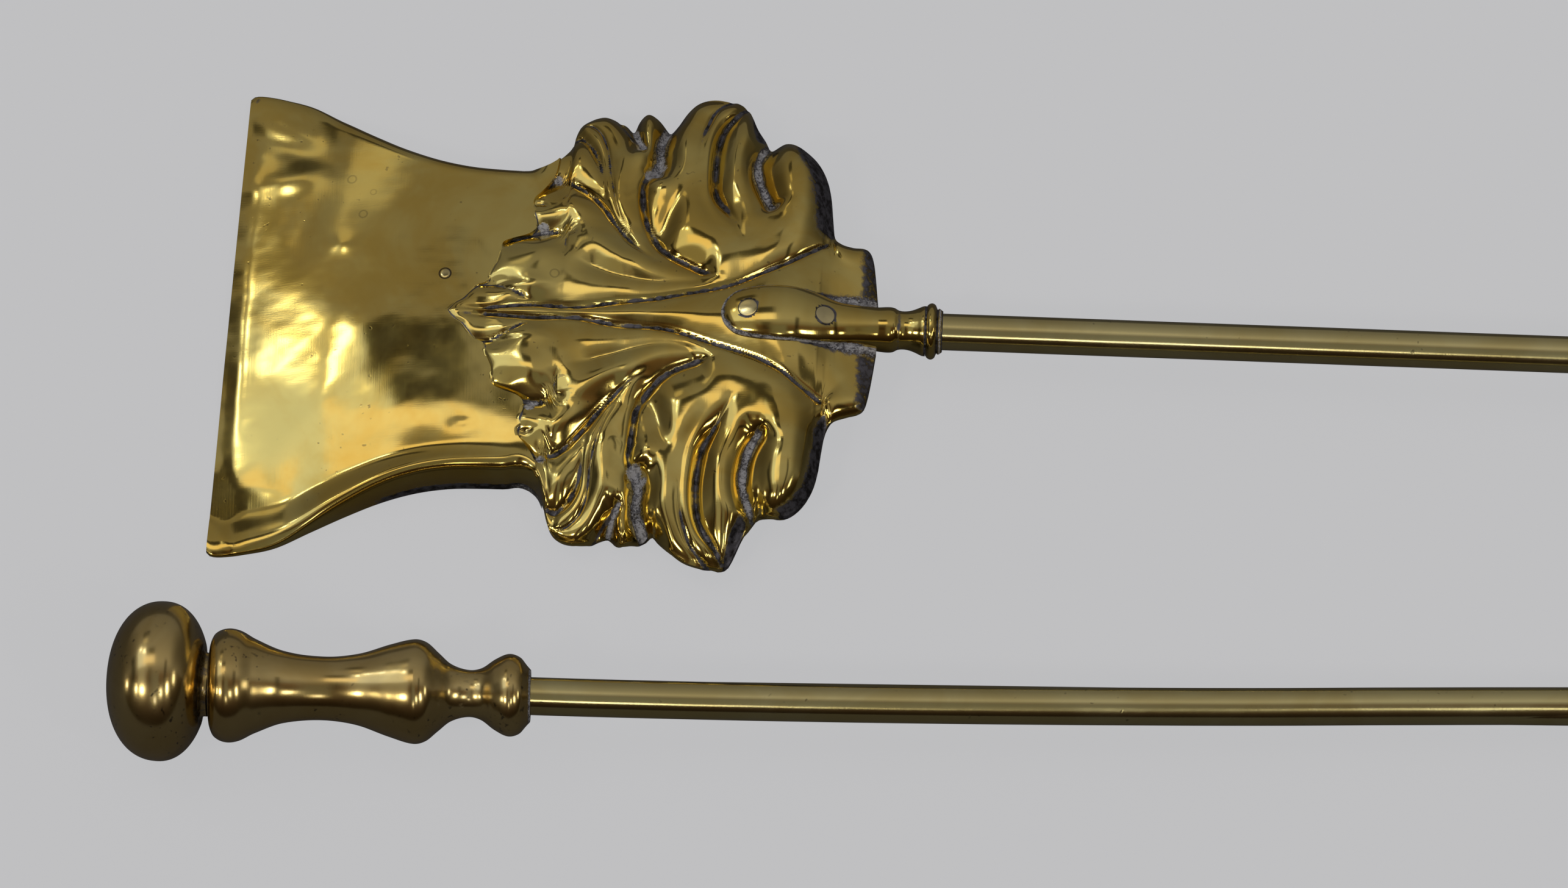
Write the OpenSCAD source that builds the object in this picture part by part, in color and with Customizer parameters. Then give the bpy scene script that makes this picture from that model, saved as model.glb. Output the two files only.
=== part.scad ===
/* [Placing] */
// Distance from the set's centre to the middle of the shovel's front edge, along X
shovel_x = -343; // [-360:1:-330]
// Distance from the set's centre to the middle of the shovel's front edge, along Y
shovel_y = 36.7; // [30:0.1:45]
// Turn of the shovel on the table, in degrees
shovel_yaw = -2.8; // [-4:0.1:0]
// Distance from the set's centre to the tip of the poker's knob, along X
poker_x = -371; // [-390:1:-350]
// Distance from the set's centre to the poker, along Y
poker_y = -91.2; // [-110:0.1:-85]
// Turn of the poker on the table, in degrees
poker_yaw = -0.45; // [-1.5:0.05:1]

/* [Lengths] */
// Length of the shovel from its front edge to the tip of its knob
shovel_length = 715; // [600:5:760]
// Length of the poker from the tip of its knob to its point
poker_length = 700; // [600:5:760]

/* [Pan] */
// Thickness of the cast brass
pan_thick = 1.8; // [1.5:0.1:2.4]
// How far the scoop's plate rises from the front edge to the leaf
plate_rise = 13.6; // [8:0.1:15]
// Length of the rise
plate_run = 72; // [65:1:90]
// Width of the front edge's flat underside
edge_flat = 4; // [2:0.5:6]
// Radius of the corner where the scoop's plate turns down into its side walls
shoulder = 5; // [3:0.5:8]
// How far the leaf's front edge runs back from its middle to its sides
leaf_sweep = 24; // [15:1:30]
// Radius of the small round plug in the plate
plug_r = 1.6; // [1:0.1:2.5]
// Place of the plug behind the front edge
plug_x = 65; // [55:1:68]
// Place of the plug to the left of the middle
plug_y = 12.3; // [8:0.1:30]

/* [Socket] */
// Height of the socket's axis above the table
neck_z = 15; // [14:0.5:18]
// Distance from the pan's front edge to the socket's mouth
mouth_x = 209.5; // [207:0.5:214]
// Radius of the rivets through the tongue
rivet_r = 3; // [2:0.1:3.5]
// Distance from the pan's front edge to the front rivet
rivet_front_x = 156.5; // [155:0.5:160]
// Distance from the pan's front edge to the rear rivet
rivet_rear_x = 179.5; // [176:0.5:182]

/* [Shaft] */
// Outer radius of the brass tube
tube_r = 5.5; // [5:0.1:6]
// Wall thickness of the brass tube
tube_wall = 0.8; // [0.6:0.1:1]
// Gap between the tube and the iron rod inside it
core_gap = 0.1; // [0.05:0.05:0.3]
// Radius of the rod's threaded ends
stud_r = 4; // [3.5:0.1:4.2]
// Depth that the tube goes into a handle or a socket
seat = 4; // [3:0.5:5]

/* [Handle] */
// Largest radius of the knob
knob_r = 23.1; // [22:0.1:24]
// Length of the knob's domed front
knob_front = 15.5; // [14:0.5:17]
// Length of the knob's rounded back
knob_back = 13.6; // [13:0.1:16]
// Radius of the neck between the knob and the grip
neck_r = 9.2; // [8.5:0.1:10]
// Distance from the tip of the knob to the grip
grip_start = 29.4; // [29.2:0.1:31]
// Distance from the tip of the knob to the end of the grip
grip_end = 122; // [121.5:0.1:124]
// Radius of the locking pin
pin_r = 0.8; // [0.6:0.1:1]

/* [Poker point] */
// Length of the iron point beyond its collar
point_length = 95; // [80:1:110]
// Radius of the iron point where it meets the collar
point_r = 5.8; // [5.6:0.1:6]
// Radius of the rounded end of the point
point_tip_r = 3; // [2.5:0.1:4]
// Length of the turned collar
collar_length = 16; // [14:1:20]
// Largest radius of the turned collar
collar_r = 8; // [7.5:0.1:8.5]

/* [Hidden] */
$fn = 64;

brass = [0.72, 0.58, 0.26];
brass_dark = [0.55, 0.43, 0.2];
iron = [0.3, 0.29, 0.28];

core_r = tube_r - tube_wall - core_gap;
shaft_run = shovel_length - mouth_x;
shovel_rise = asin((knob_r - neck_z) / (shaft_run - knob_front));
tube_in_handle = grip_end - seat;
stud_end = 14;
collar_start = poker_length - point_length - collar_length;
collar_belly = collar_start + collar_length / 2;
poker_drop = asin((knob_r - collar_r) / (collar_belly - knob_front));
poker_z = knob_r + knob_front * sin(poker_drop);
// How squarely the knob is rounded: 2 is an ellipse
knob_power = 2.2;
// How far the tongue runs on into the neck, beyond the end of the pan's tail
tongue_root = 4;
// How far a hole or a rivet reaches below and above the strip that it goes through
rivet_below = 6;
rivet_above = 8;
// Height of a rivet's spread head under the pan
rivet_head = 1.4;
// How far a cutting shape runs past what it cuts
over = 1;
// Places along the pan: front edge, scoop, leaf and tail
stations = [
  0, 3, 9, 17, 26, 35, 44, 53, 59, 63, 66, 69, 72, 77, 83, 89, 94, 97, 100, 105, 110, 115, 119,
  123, 128, 133, 138, 143, 148.5, 150, 153, 156, 159, 162, 166, 170, 174, 177, 180, 183, 187, 191, 195
];
// First place of the row that the tongue starts at
tongue_first = 28;
// Half width of the flat strip that carries the tongue
strip = 9.5;
// Lines on each side of the pan's middle
lines = 13;
// The lines beyond this one go round the corner and down the side wall
flat_lines = 8;
// Height of the plate above the table at the plug
plug_z = 15;

// Outer half width along the pan: scoop, two front lobes, back lobe and tail
edge_knots = [
  [0, 76], [3, 77.3], [10, 76.4], [20, 73.6], [30, 68], [40, 62.4], [50, 57.4], [60, 53.8], [70, 51.8],
  [80, 51.4], [88, 51.4], [93, 52.5], [97, 58.5], [101, 67.5], [109, 71], [114, 70], [118, 67.5],
  [122, 71.5], [127, 69.5], [130, 68.5], [136, 73], [142, 77], [147, 78], [153, 76.5], [157.5, 70],
  [161, 62], [165, 61], [170, 61], [174, 57.5], [178, 48], [181, 34], [184, 29], [192, 26.5], [195, 22]
];
// Height of the leaf's middle strip above the table
crest_knots = [
  [60, 14.5], [66, 15.6], [73, 17.2], [80, 18.4], [104, 19.4], [124, 20.9], [142, 21.6], [152, 22.4],
  [163, 23.4], [170, 22.9], [176, 20.6], [183, 17.4], [189, 16.5], [195, 16.3]
];
// Height of the leaf's outer edge above the table
rim_knots = [
  [60, 13.2], [80, 13.4], [92, 13], [98, 11.5], [103, 10.8], [112, 11], [120, 11.3], [128, 12.5],
  [135, 13.2], [148, 14], [157, 15.5], [162, 17.5], [168, 19.5], [175, 20], [182, 19], [188, 18], [195, 17.8]
];
// Share of the plate's height that is left where it turns down, along the pan
crown_knots = [[0, 0.85], [10, 0.5], [22, 0.4], [33.5, 0.68], [44.6, 0.84], [56, 0.92], [80, 0.9]];
// Half width of the socket's tongue
tongue_knots = [
  [148.5, 0.8], [150, 4.4], [153, 6.9], [159, 8.4], [166, 8.9], [172, 8.7], [178, 8], [183, 7], [189, 6.4], [195, 6.4]
];
// Height of the tongue above the strip it lies on
tongue_rise_knots = [[148.5, 0.5], [150, 1.6], [153, 2.6], [158, 3.3], [166, 3.7], [178, 4.3], [187, 5], [195, 5.2]];
// Radius of the socket's neck, measured back from its mouth
socket_knots = [
  [-14.2, 6.6], [-11.2, 6.8], [-9.6, 6.6], [-8.2, 5.9], [-6.5, 5.7], [-4.5, 6], [-2.6, 6.7], [-1, 7.4], [0, 7.5]
];
// Radius of the bead ring, measured on from the socket's mouth
ring_knots = [[0, 7.2], [0.6, 8], [1.7, 8.4], [2.7, 7.9], [3.2, 7], [4, 6.8], [5, 6.1]];
// Radius of the grip, measured from the tip of the knob
grip_knots = [
  [29.4, 9.6], [29.9, 12.6], [31.2, 15], [34.4, 16.4], [38.2, 15.9], [42.6, 13.6], [50.8, 10.4], [62.2, 9.2],
  [72.2, 10.3], [81.6, 13.4], [88.4, 15.1], [92, 14.2], [95.4, 11.3], [99, 8.3], [104, 6.8],
  [107.8, 7.5], [111.7, 10.2], [115.6, 11.9], [118.9, 11], [120.9, 8.7], [122, 7.5]
];
// Radius of the turned collar, measured along it
collar_knots = [[0, 6.4], [1.6, 6.2], [3, 6.8], [5.5, 7.7], [8, 8], [10.5, 7.7], [13, 6.8], [14.4, 6.2], [16, 6.6]];

// Smooth curve through rows of [place, value]
function knot_of(rows, at, i = 0) = i >= len(rows) - 2 || at <= rows[i + 1][0] ? i : knot_of(rows, at, i + 1);
function slope_at(rows, i) =
  let (a = max(i - 1, 0), b = min(i + 1, len(rows) - 1))
  (rows[b][1] - rows[a][1]) / (rows[b][0] - rows[a][0]);
function curve(rows, at) =
  let (
    i = knot_of(rows, at),
    span = rows[i + 1][0] - rows[i][0],
    t = min(max((at - rows[i][0]) / span, 0), 1)
  )
  rows[i][1] * (2 * pow(t, 3) - 3 * pow(t, 2) + 1)
  + span * slope_at(rows, i) * (pow(t, 3) - 2 * pow(t, 2) + t)
  + rows[i + 1][1] * (3 * pow(t, 2) - 2 * pow(t, 3))
  + span * slope_at(rows, i + 1) * (pow(t, 3) - pow(t, 2));
function ease(from, to, at) = let (t = min(max((at - from) / (to - from), 0), 1)) t * t * (3 - 2 * t);
function mix(a, b, t) = a + (b - a) * t;

// Turn of a line round the corner: 0 on the plate, 90 at the foot of the wall
function bend(j) = 90 * max(abs(j) - flat_lines, 0) / (lines - flat_lines);
// The leaf's front edge sweeps back towards the sides
function sweep(j) = pow(min(max(abs(j) - 2, 0) / (flat_lines - 2), 1), 1.3);
function pan_x(s, j) = s + leaf_sweep * sweep(j) * ease(25, 63, s) * (1 - ease(78, 145, s));
function leafness(s) = ease(60, 75, s);
function walls(x) = 1 - ease(93, 99, x);
function edge(x) = curve(edge_knots, x);
function plate(x) = pan_thick + plate_rise * (1 - pow(1 - min(max((x - edge_flat) / plate_run, 0), 1), 2));

// A point of the pan, which lies face down; t is the depth below its upper face
function pan_y(x, j, t) =
  let (flat = edge(x) - shoulder, line = abs(j))
  line <= 2 ? strip * line / 2
  : line <= flat_lines ? mix(strip, flat - t * walls(x), (line - 2) / (flat_lines - 2))
  : flat - t * walls(x) + shoulder * sin(bend(j));
function scoop_z(x, share) = plate(x) * mix(1, curve(crown_knots, x), pow(share, 2.5));
function leaf_z(x, share) = mix(curve(crest_knots, x), curve(rim_knots, x), pow(share, 2.2));
function pan_point(s, j, t) =
  let (
    x = pan_x(s, j),
    y = pan_y(x, j, t),
    height = mix(scoop_z(x, y / edge(x)), leaf_z(x, max(y - strip, 0) / (edge(x) - strip)), leafness(s)),
    fall = mix(1, pow(cos(bend(j)), 0.5), walls(x))
  )
  [x, j < 0 ? -y : y, max(height - t, 0) * fall];

// Closed solid between rows of points that all have the same length, wound alike
module loft(rows) {
  n = len(rows[0]);
  last = len(rows) - 1;
  polyhedron(
    points = [for (row = rows) each row],
    faces = concat(
      [for (i = [0 : last - 1], j = [0 : n - 1])
        let (a = i * n + j, b = i * n + (j + 1) % n) each [[a, b + n, b], [a, a + n, b + n]]],
      [[for (j = [0 : n - 1]) j]],
      [[for (j = [n - 1 : -1 : 0]) last * n + j]]
    ),
    convexity = 6
  );
}

// Closed solid between a grid of top points and the same grid of under points
module shell(top, under) {
  m = len(top);
  n = len(top[0]);
  polyhedron(
    points = concat([for (row = top) each row], [for (row = under) each row]),
    faces = concat(
      [for (i = [0 : m - 2], j = [0 : n - 2])
        let (a = i * n + j) each [[a, a + 1, a + n + 1], [a, a + n + 1, a + n]]],
      [for (i = [0 : m - 2], j = [0 : n - 2])
        let (a = m * n + i * n + j) each [[a, a + n + 1, a + 1], [a, a + n, a + n + 1]]],
      [for (j = [0 : n - 2])
        let (b = m * n) each [[j, b + j, b + j + 1], [j, b + j + 1, j + 1]]],
      [for (j = [0 : n - 2])
        let (a = (m - 1) * n + j, b = a + m * n) each [[a, b + 1, b], [a, a + 1, b + 1]]],
      [for (i = [0 : m - 2])
        let (a = i * n, b = a + m * n) each [[a, b + n, b], [a, a + n, b + n]]],
      [for (i = [0 : m - 2])
        let (a = i * n + n - 1, b = a + m * n) each [[a, b, b + n], [a, b + n, a + n]]]
    ),
    convexity = 6
  );
}

// Turned solid through rows of [place, radius], with its axis along Z
module turned(rows, steps) {
  first = rows[0][0];
  last = rows[len(rows) - 1][0];
  rotate_extrude()
    polygon(concat(
      [[0, first]],
      [for (i = [0 : steps]) let (at = mix(first, last, i / steps)) [curve(rows, at), at]],
      [[0, last]]
    ));
}

module rod(from, to, r) {
  translate([0, 0, from]) cylinder(h = to - from, r = r);
}

// Frames: each puts its children where they belong in the set
module shovel_frame() {
  translate([shovel_x, shovel_y, 0]) rotate([0, 0, shovel_yaw]) children();
}

// Z runs along the shovel's shaft, away from the pan, from the socket's mouth
module shovel_shaft_frame() {
  shovel_frame() translate([mouth_x, 0, neck_z]) rotate([0, 90 - shovel_rise, 0]) children();
}

// Z runs along the shovel's handle, towards the pan, from the tip of its knob
module shovel_handle_frame() {
  shovel_shaft_frame() translate([0, 0, shaft_run]) rotate([180, 0, 0]) children();
}

// Z runs along the poker, towards its point, from the tip of its knob
module poker_frame() {
  translate([poker_x, poker_y, poker_z]) rotate([0, 0, poker_yaw]) rotate([0, 90 + poker_drop, 0]) children();
}

// A rivet stands square to the strip it goes through
module at_rivet(x) {
  tilt = atan((curve(crest_knots, x - 2) - curve(crest_knots, x + 2)) / 4);
  translate([x, 0, curve(crest_knots, x)]) rotate([0, tilt, 0]) children();
}

module rivet_hole(x) {
  at_rivet(x) translate([0, 0, -rivet_below]) cylinder(h = rivet_below + rivet_above, r = rivet_r);
}

// Shapes that both tools share
module knob_shape() {
  quarter = [for (a = [0 : 6 : 90]) a];
  back = [for (a = [96 : 6 : 156]) a];
  difference() {
    rotate_extrude()
      polygon(concat(
        [for (a = quarter)
          [knob_r * pow(sin(a), 2 / knob_power), knob_front * (1 - pow(cos(a), 2 / knob_power))]],
        [for (a = back)
          [knob_r * pow(sin(a), 2 / knob_power), knob_front + knob_back * pow(-cos(a), 2 / knob_power)]],
        [[neck_r, knob_front + knob_back], [neck_r, grip_start], [0, grip_start]]
      ));
    rod(stud_end - over, grip_start + over, stud_r);
  }
}

// Hole and pin that lock the grip, the tube and the rod together
module pin_line(r, h) {
  rotate([0, 0, 160]) translate([2.4, 0, grip_end - 0.4]) rotate([0, 90, 0]) cylinder(h = h, r = r);
}

module grip_shape() {
  difference() {
    turned(grip_knots, 52);
    rod(grip_start - over, grip_end + over, stud_r);
    rod(tube_in_handle, grip_end + over, tube_r);
    pin_line(pin_r, 8);
  }
}

module pin_shape() {
  intersection() {
    pin_line(pin_r, 8);
    rod(grip_end - 2, grip_end + 2, tube_r);
  }
}

module tube_shape(from, to) {
  difference() {
    rod(from, to, tube_r);
    rod(from - over, to + over, tube_r - tube_wall);
    pin_line(pin_r, 8);
  }
}

// Sub-parts of the shovel
module shovel_pan() {
  side = [for (j = [-lines : lines]) j];
  color(brass) shovel_frame() difference() {
    shell(
      [for (s = stations) [for (j = side) pan_point(s, j, 0)]],
      [for (s = stations) [for (j = side) pan_point(s, j, pan_thick)]]
    );
    translate([plug_x, plug_y, plug_z - pan_thick - over]) cylinder(h = pan_thick + 2 * over, r = plug_r);
    rivet_hole(rivet_front_x);
    rivet_hole(rivet_rear_x);
  }
}

module floor_plug() {
  color(brass_dark) shovel_frame()
    translate([plug_x, plug_y, plug_z - pan_thick]) cylinder(h = pan_thick, r = plug_r);
}

// Half round bar that lies on the leaf and runs into the neck
module tongue_shape() {
  arc = [for (a = [0 : 15 : 180]) a];
  tail = stations[len(stations) - 1];
  along = concat([for (i = [tongue_first : len(stations) - 1]) stations[i]], [tail + tongue_root]);
  loft([for (x = along)
    let (at = min(x, tail), half = curve(tongue_knots, at), rise = curve(tongue_rise_knots, at))
    [for (a = arc) [x, half * cos(a), curve(crest_knots, at) + rise * sin(a)]]]);
}

module shovel_socket() {
  color(brass) difference() {
    union() {
      shovel_frame() difference() {
        tongue_shape();
        rivet_hole(rivet_front_x);
        rivet_hole(rivet_rear_x);
      }
      shovel_shaft_frame() turned(socket_knots, 30);
    }
    shovel_shaft_frame() rod(-10, over, stud_r);
    shovel_shaft_frame() rod(-seat, over, tube_r);
  }
}

// Flush with the tongue above, and spread into a low head under the pan
module rivet_shape(x) {
  intersection() {
    at_rivet(x) translate([0, 0, -pan_thick]) cylinder(h = pan_thick + rivet_above, r = rivet_r);
    union() {
      tongue_shape();
      at_rivet(x) translate([0, 0, -rivet_below]) cylinder(h = rivet_below + rivet_r / 8, r = rivet_r);
    }
  }
  at_rivet(x) translate([0, 0, -pan_thick - rivet_head])
    cylinder(h = rivet_head, r1 = rivet_r * 0.9, r2 = rivet_r * 1.4);
}

module rivet_front() {
  color(brass_dark) shovel_frame() rivet_shape(rivet_front_x);
}

module rivet_rear() {
  color(brass_dark) shovel_frame() rivet_shape(rivet_rear_x);
}

module socket_ring() {
  color(brass) shovel_shaft_frame() difference() {
    turned(ring_knots, 16);
    rod(-over, 6, tube_r);
  }
}

module shovel_tube() {
  color(brass) shovel_handle_frame() tube_shape(tube_in_handle, shaft_run + seat);
}

module shovel_core() {
  color(iron) shovel_handle_frame() difference() {
    union() {
      rod(stud_end, shaft_run + 10, stud_r);
      rod(tube_in_handle, shaft_run + seat, core_r);
    }
    pin_line(pin_r, 8);
  }
}

module shovel_grip() {
  color(brass) shovel_handle_frame() grip_shape();
}

module shovel_knob() {
  color(brass) shovel_handle_frame() knob_shape();
}

module shovel_pin() {
  color(iron) shovel_handle_frame() pin_shape();
}

// Sub-parts of the poker
module poker_knob() {
  color(brass) poker_frame() knob_shape();
}

module poker_grip() {
  color(brass) poker_frame() grip_shape();
}

module poker_pin() {
  color(iron) poker_frame() pin_shape();
}

module poker_tube() {
  color(brass) poker_frame() tube_shape(tube_in_handle, collar_start);
}

// The rod and the point are one forging, with a shoulder against the collar
module poker_core() {
  shoulder = collar_start + collar_length;
  color(iron) poker_frame() difference() {
    union() {
      rod(stud_end, tube_in_handle + over, stud_r);
      rod(tube_in_handle, shoulder + over, core_r);
      translate([0, 0, shoulder])
        cylinder(h = point_length - point_tip_r, r1 = point_r, r2 = point_tip_r);
      translate([0, 0, poker_length - point_tip_r]) sphere(r = point_tip_r);
    }
    pin_line(pin_r, 8);
  }
}

module poker_collar() {
  color(brass) poker_frame() translate([0, 0, collar_start]) difference() {
    turned(collar_knots, 24);
    rod(-over, collar_length + over, core_r);
  }
}

shovel_pan();
floor_plug();
shovel_socket();
rivet_front();
rivet_rear();
socket_ring();
shovel_tube();
shovel_core();
shovel_grip();
shovel_knob();
shovel_pin();
poker_knob();
poker_grip();
poker_pin();
poker_tube();
poker_core();
poker_collar();
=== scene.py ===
import math

import bmesh
import bpy
import numpy as np
from mathutils import Matrix, Vector


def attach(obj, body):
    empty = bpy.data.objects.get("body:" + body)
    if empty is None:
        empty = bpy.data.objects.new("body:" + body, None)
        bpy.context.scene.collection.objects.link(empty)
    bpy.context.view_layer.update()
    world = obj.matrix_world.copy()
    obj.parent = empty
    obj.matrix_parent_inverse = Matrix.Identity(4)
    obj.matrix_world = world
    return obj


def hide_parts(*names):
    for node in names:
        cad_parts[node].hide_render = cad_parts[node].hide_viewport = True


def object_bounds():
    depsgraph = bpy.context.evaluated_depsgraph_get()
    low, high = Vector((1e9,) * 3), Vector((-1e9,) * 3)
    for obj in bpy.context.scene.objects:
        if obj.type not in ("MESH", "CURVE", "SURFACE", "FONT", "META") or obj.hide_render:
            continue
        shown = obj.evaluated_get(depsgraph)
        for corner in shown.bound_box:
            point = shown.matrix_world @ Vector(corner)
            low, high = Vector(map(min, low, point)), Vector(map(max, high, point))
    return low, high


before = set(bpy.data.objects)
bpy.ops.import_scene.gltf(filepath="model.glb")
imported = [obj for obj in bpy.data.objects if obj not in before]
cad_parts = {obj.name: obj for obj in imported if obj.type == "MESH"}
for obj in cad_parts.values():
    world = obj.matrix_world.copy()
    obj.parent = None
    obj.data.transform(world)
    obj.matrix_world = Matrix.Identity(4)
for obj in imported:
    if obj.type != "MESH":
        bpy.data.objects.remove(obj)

CAD_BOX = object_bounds()
MM = 0.001
scene = bpy.context.scene


# -------- camera, floor and light

CAMERA_ELEVATION = math.radians(65.0)
CAMERA_TARGET = Vector((-0.176, -0.0036, 0.0))
CAMERA_DISTANCE = 1.7
CAMERA_LENS = 130.9
FLOOR_DROP = 0.0002
FLOOR_SIZE = 40.0
FLOOR_TONE = (0.12, 0.12, 0.126, 1)
# The floor's own light, which only the camera sees: in the brass the floor stays dark
FLOOR_GLOW = (0.485, 0.487, 0.497, 1)


def make_camera():
    data = bpy.data.cameras.new("camera")
    camera = bpy.data.objects.new("camera", data)
    scene.collection.objects.link(camera)
    away = Vector((0, -math.cos(CAMERA_ELEVATION), math.sin(CAMERA_ELEVATION)))
    camera.location = CAMERA_TARGET + CAMERA_DISTANCE * away
    camera.rotation_euler = (math.pi / 2 - CAMERA_ELEVATION, 0, 0)
    data.sensor_width = 36.0
    data.lens = CAMERA_LENS
    scene.camera = camera


def make_floor():
    s = FLOOR_SIZE / 2
    z = CAD_BOX[0][2] - FLOOR_DROP
    mesh = bpy.data.meshes.new("floor")
    mesh.from_pydata([(-s, -s, z), (s, -s, z), (s, s, z), (-s, s, z)], [], [(0, 1, 2, 3)])
    floor = bpy.data.objects.new("floor", mesh)
    scene.collection.objects.link(floor)
    material, g, shader = new_material("floor_paper")
    shader.inputs["Base Color"].default_value = FLOOR_TONE
    shader.inputs["Roughness"].default_value = 0.9
    shader.inputs["Specular IOR Level"].default_value = 0.1
    shader.inputs["Emission Color"].default_value = FLOOR_GLOW
    g.put(shader.inputs["Emission Strength"], g.add("LightPath", "Is Camera Ray", {}))
    mesh.materials.append(material)


# Brightness of the room by tilt: degrees from straight up, towards the near side, and a grey level
ROOM = [
    (-90, 0.13), (-67, 0.15), (-47, 0.19), (-30, 0.23), (-14, 0.30), (-6, 0.33), (4, 0.22), (14, 0.12),
    (26, 0.07), (50, 0.05), (62, 0.035), (72, 0.02), (90, 0.010),
]
# Blue's share of the grey level, up to this tilt and beyond it
WARM_FROM = 10
BLUE_SHARE = (0.9, 0.45)
# How much darker the room is to the far left and right, from where to where, and the tone it fades to
SIDE_SHADE = 0.62
SIDE_TURN = (32.0, 62.0)
SIDE_TONE = (0.015, 0.011, 0.006, 1)
# Soft boxes: turn and tilt at the middle, half sizes, edge softness (degrees), strength, colour
BOXES = [
    (0.0, 30.0, 9.0, 20.0, 6.0, 0.15, (1.0, 0.97, 0.92)),
    (-32.0, -13.5, 11.0, 14.0, 4.0, 0.78, (0.97, 1.0, 1.08)),
    (-32.0, 20.0, 10.0, 20.0, 5.0, 0.26, (1.0, 0.96, 0.90)),
    (-36.5, -24.0, 6.0, 10.5, 4.0, 0.72, (0.97, 1.0, 1.08)),
    (-24.0, -41.0, 5.0, 4.0, 2.5, 0.50, (1.0, 0.90, 0.70)),
    (-16.0, -9.5, 12.0, 6.0, 2.5, 1.05, (1.0, 0.86, 0.68)),
    (-35.0, -30.5, 1.8, 1.4, 1.2, 7.0, (1.0, 0.98, 0.95)),
    (-26.3, -25.0, 1.7, 2.2, 1.2, 7.0, (1.0, 0.98, 0.95)),
    (-30.0, 36.0, 4.0, 4.5, 1.5, 13.0, (1.0, 0.93, 0.84)),
    (-47.0, 36.0, 1.6, 5.5, 1.0, 12.0, (1.0, 0.95, 0.87)),
    (-77.0, 32.0, 2.0, 10.0, 1.5, 9.0, (1.0, 0.92, 0.82)),
    (-1.5, 50.0, 1.8, 4.0, 1.5, 4.0, (1.0, 0.96, 0.90)),
    (16.0, 40.0, 3.5, 5.0, 2.0, 4.5, (1.0, 0.97, 0.92)),
    (38.0, 36.0, 2.5, 8.0, 1.5, 9.0, (1.0, 0.95, 0.88)),
    (60.0, 20.0, 2.6, 11.0, 2.0, 4.0, (1.0, 0.95, 0.88)),
]
# Dark flags: the same places and sizes, and the share of light they take away
FLAGS = [
    (-13.0, -22.0, 8.5, 5.0, 2.5, 0.85), (-22.0, -53.0, 7.0, 4.5, 3.0, 0.75),
    (-12.0, 14.0, 4.0, 12.0, 3.0, 0.6), (29.0, 20.0, 4.0, 30.0, 4.0, 0.8),
    (-56.0, 10.0, 5.0, 40.0, 5.0, 0.8),
]


class Graph:
    """Adds nodes to a node tree; sockets and plain numbers mix freely."""

    def __init__(self, tree):
        self.tree = tree
        self.nodes = tree.nodes

    def put(self, socket, value):
        if isinstance(value, bpy.types.NodeSocket):
            self.tree.links.new(value, socket)
        else:
            socket.default_value = value

    def add(self, kind, out, inputs, **settings):
        """Adds a node with its inputs, by name or number, and settings, and gives one of its outputs."""
        node = self.nodes.new("ShaderNode" + kind)
        for name, value in settings.items():
            setattr(node, name, value)
        for name, value in inputs.items():
            self.put(node.inputs[name], value)
        return node.outputs[out]

    def math(self, operation, *values, clamp=False):
        return self.add("Math", 0, dict(enumerate(values)), operation=operation, use_clamp=clamp)

    def plus(self, a, b, clamp=False):
        return self.math("ADD", a, b, clamp=clamp)

    def minus(self, a, b, clamp=False):
        return self.math("SUBTRACT", a, b, clamp=clamp)

    def times(self, a, b, clamp=False):
        return self.math("MULTIPLY", a, b, clamp=clamp)

    def ramp(self, value, low, high):
        """0 below low, 1 above high, smooth between them."""
        inputs = {"Value": value, "From Min": low, "From Max": high}
        return self.add("MapRange", "Result", inputs, interpolation_type="SMOOTHSTEP")

    def mix(self, share, first, second):
        """Mix of two colours."""
        return self.add("Mix", 2, {"Factor": share, 6: first, 7: second}, data_type="RGBA")

    def blend(self, share, first, second):
        """Mix of two numbers."""
        return self.add("Mix", 0, {"Factor": share, 2: first, 3: second}, data_type="FLOAT")

    def noise(self, place, scale, detail=2.0, rough=0.5, warp=0.0):
        inputs = {"Vector": place, "Scale": scale, "Detail": detail, "Roughness": rough, "Distortion": warp}
        return self.add("TexNoise", "Fac", inputs)

    def stretched(self, place, scale, turn=0.0):
        return self.add("Mapping", "Vector", {"Vector": place, "Rotation": (0, 0, turn), "Scale": scale})

    def reach(self, place, centre):
        """Distance from an upright line through a centre."""
        flat = self.add("VectorMath", "Vector", {0: place, 1: (1, 1, 0)}, operation="MULTIPLY")
        return self.add("VectorMath", "Value", {0: flat, 1: centre}, operation="DISTANCE")

    def attribute(self, name):
        return self.add("Attribute", "Fac", {}, attribute_name=name)

    def bump(self, shader, height, strength, distance):
        inputs = {"Strength": strength, "Distance": distance, "Height": height}
        self.put(shader.inputs["Normal"], self.add("Bump", 0, inputs))


def new_material(name):
    """A new material, its graph and its shader."""
    material = bpy.data.materials.new(name)
    material.use_nodes = True
    g = Graph(material.node_tree)
    return material, g, g.nodes["Principled BSDF"]


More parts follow.
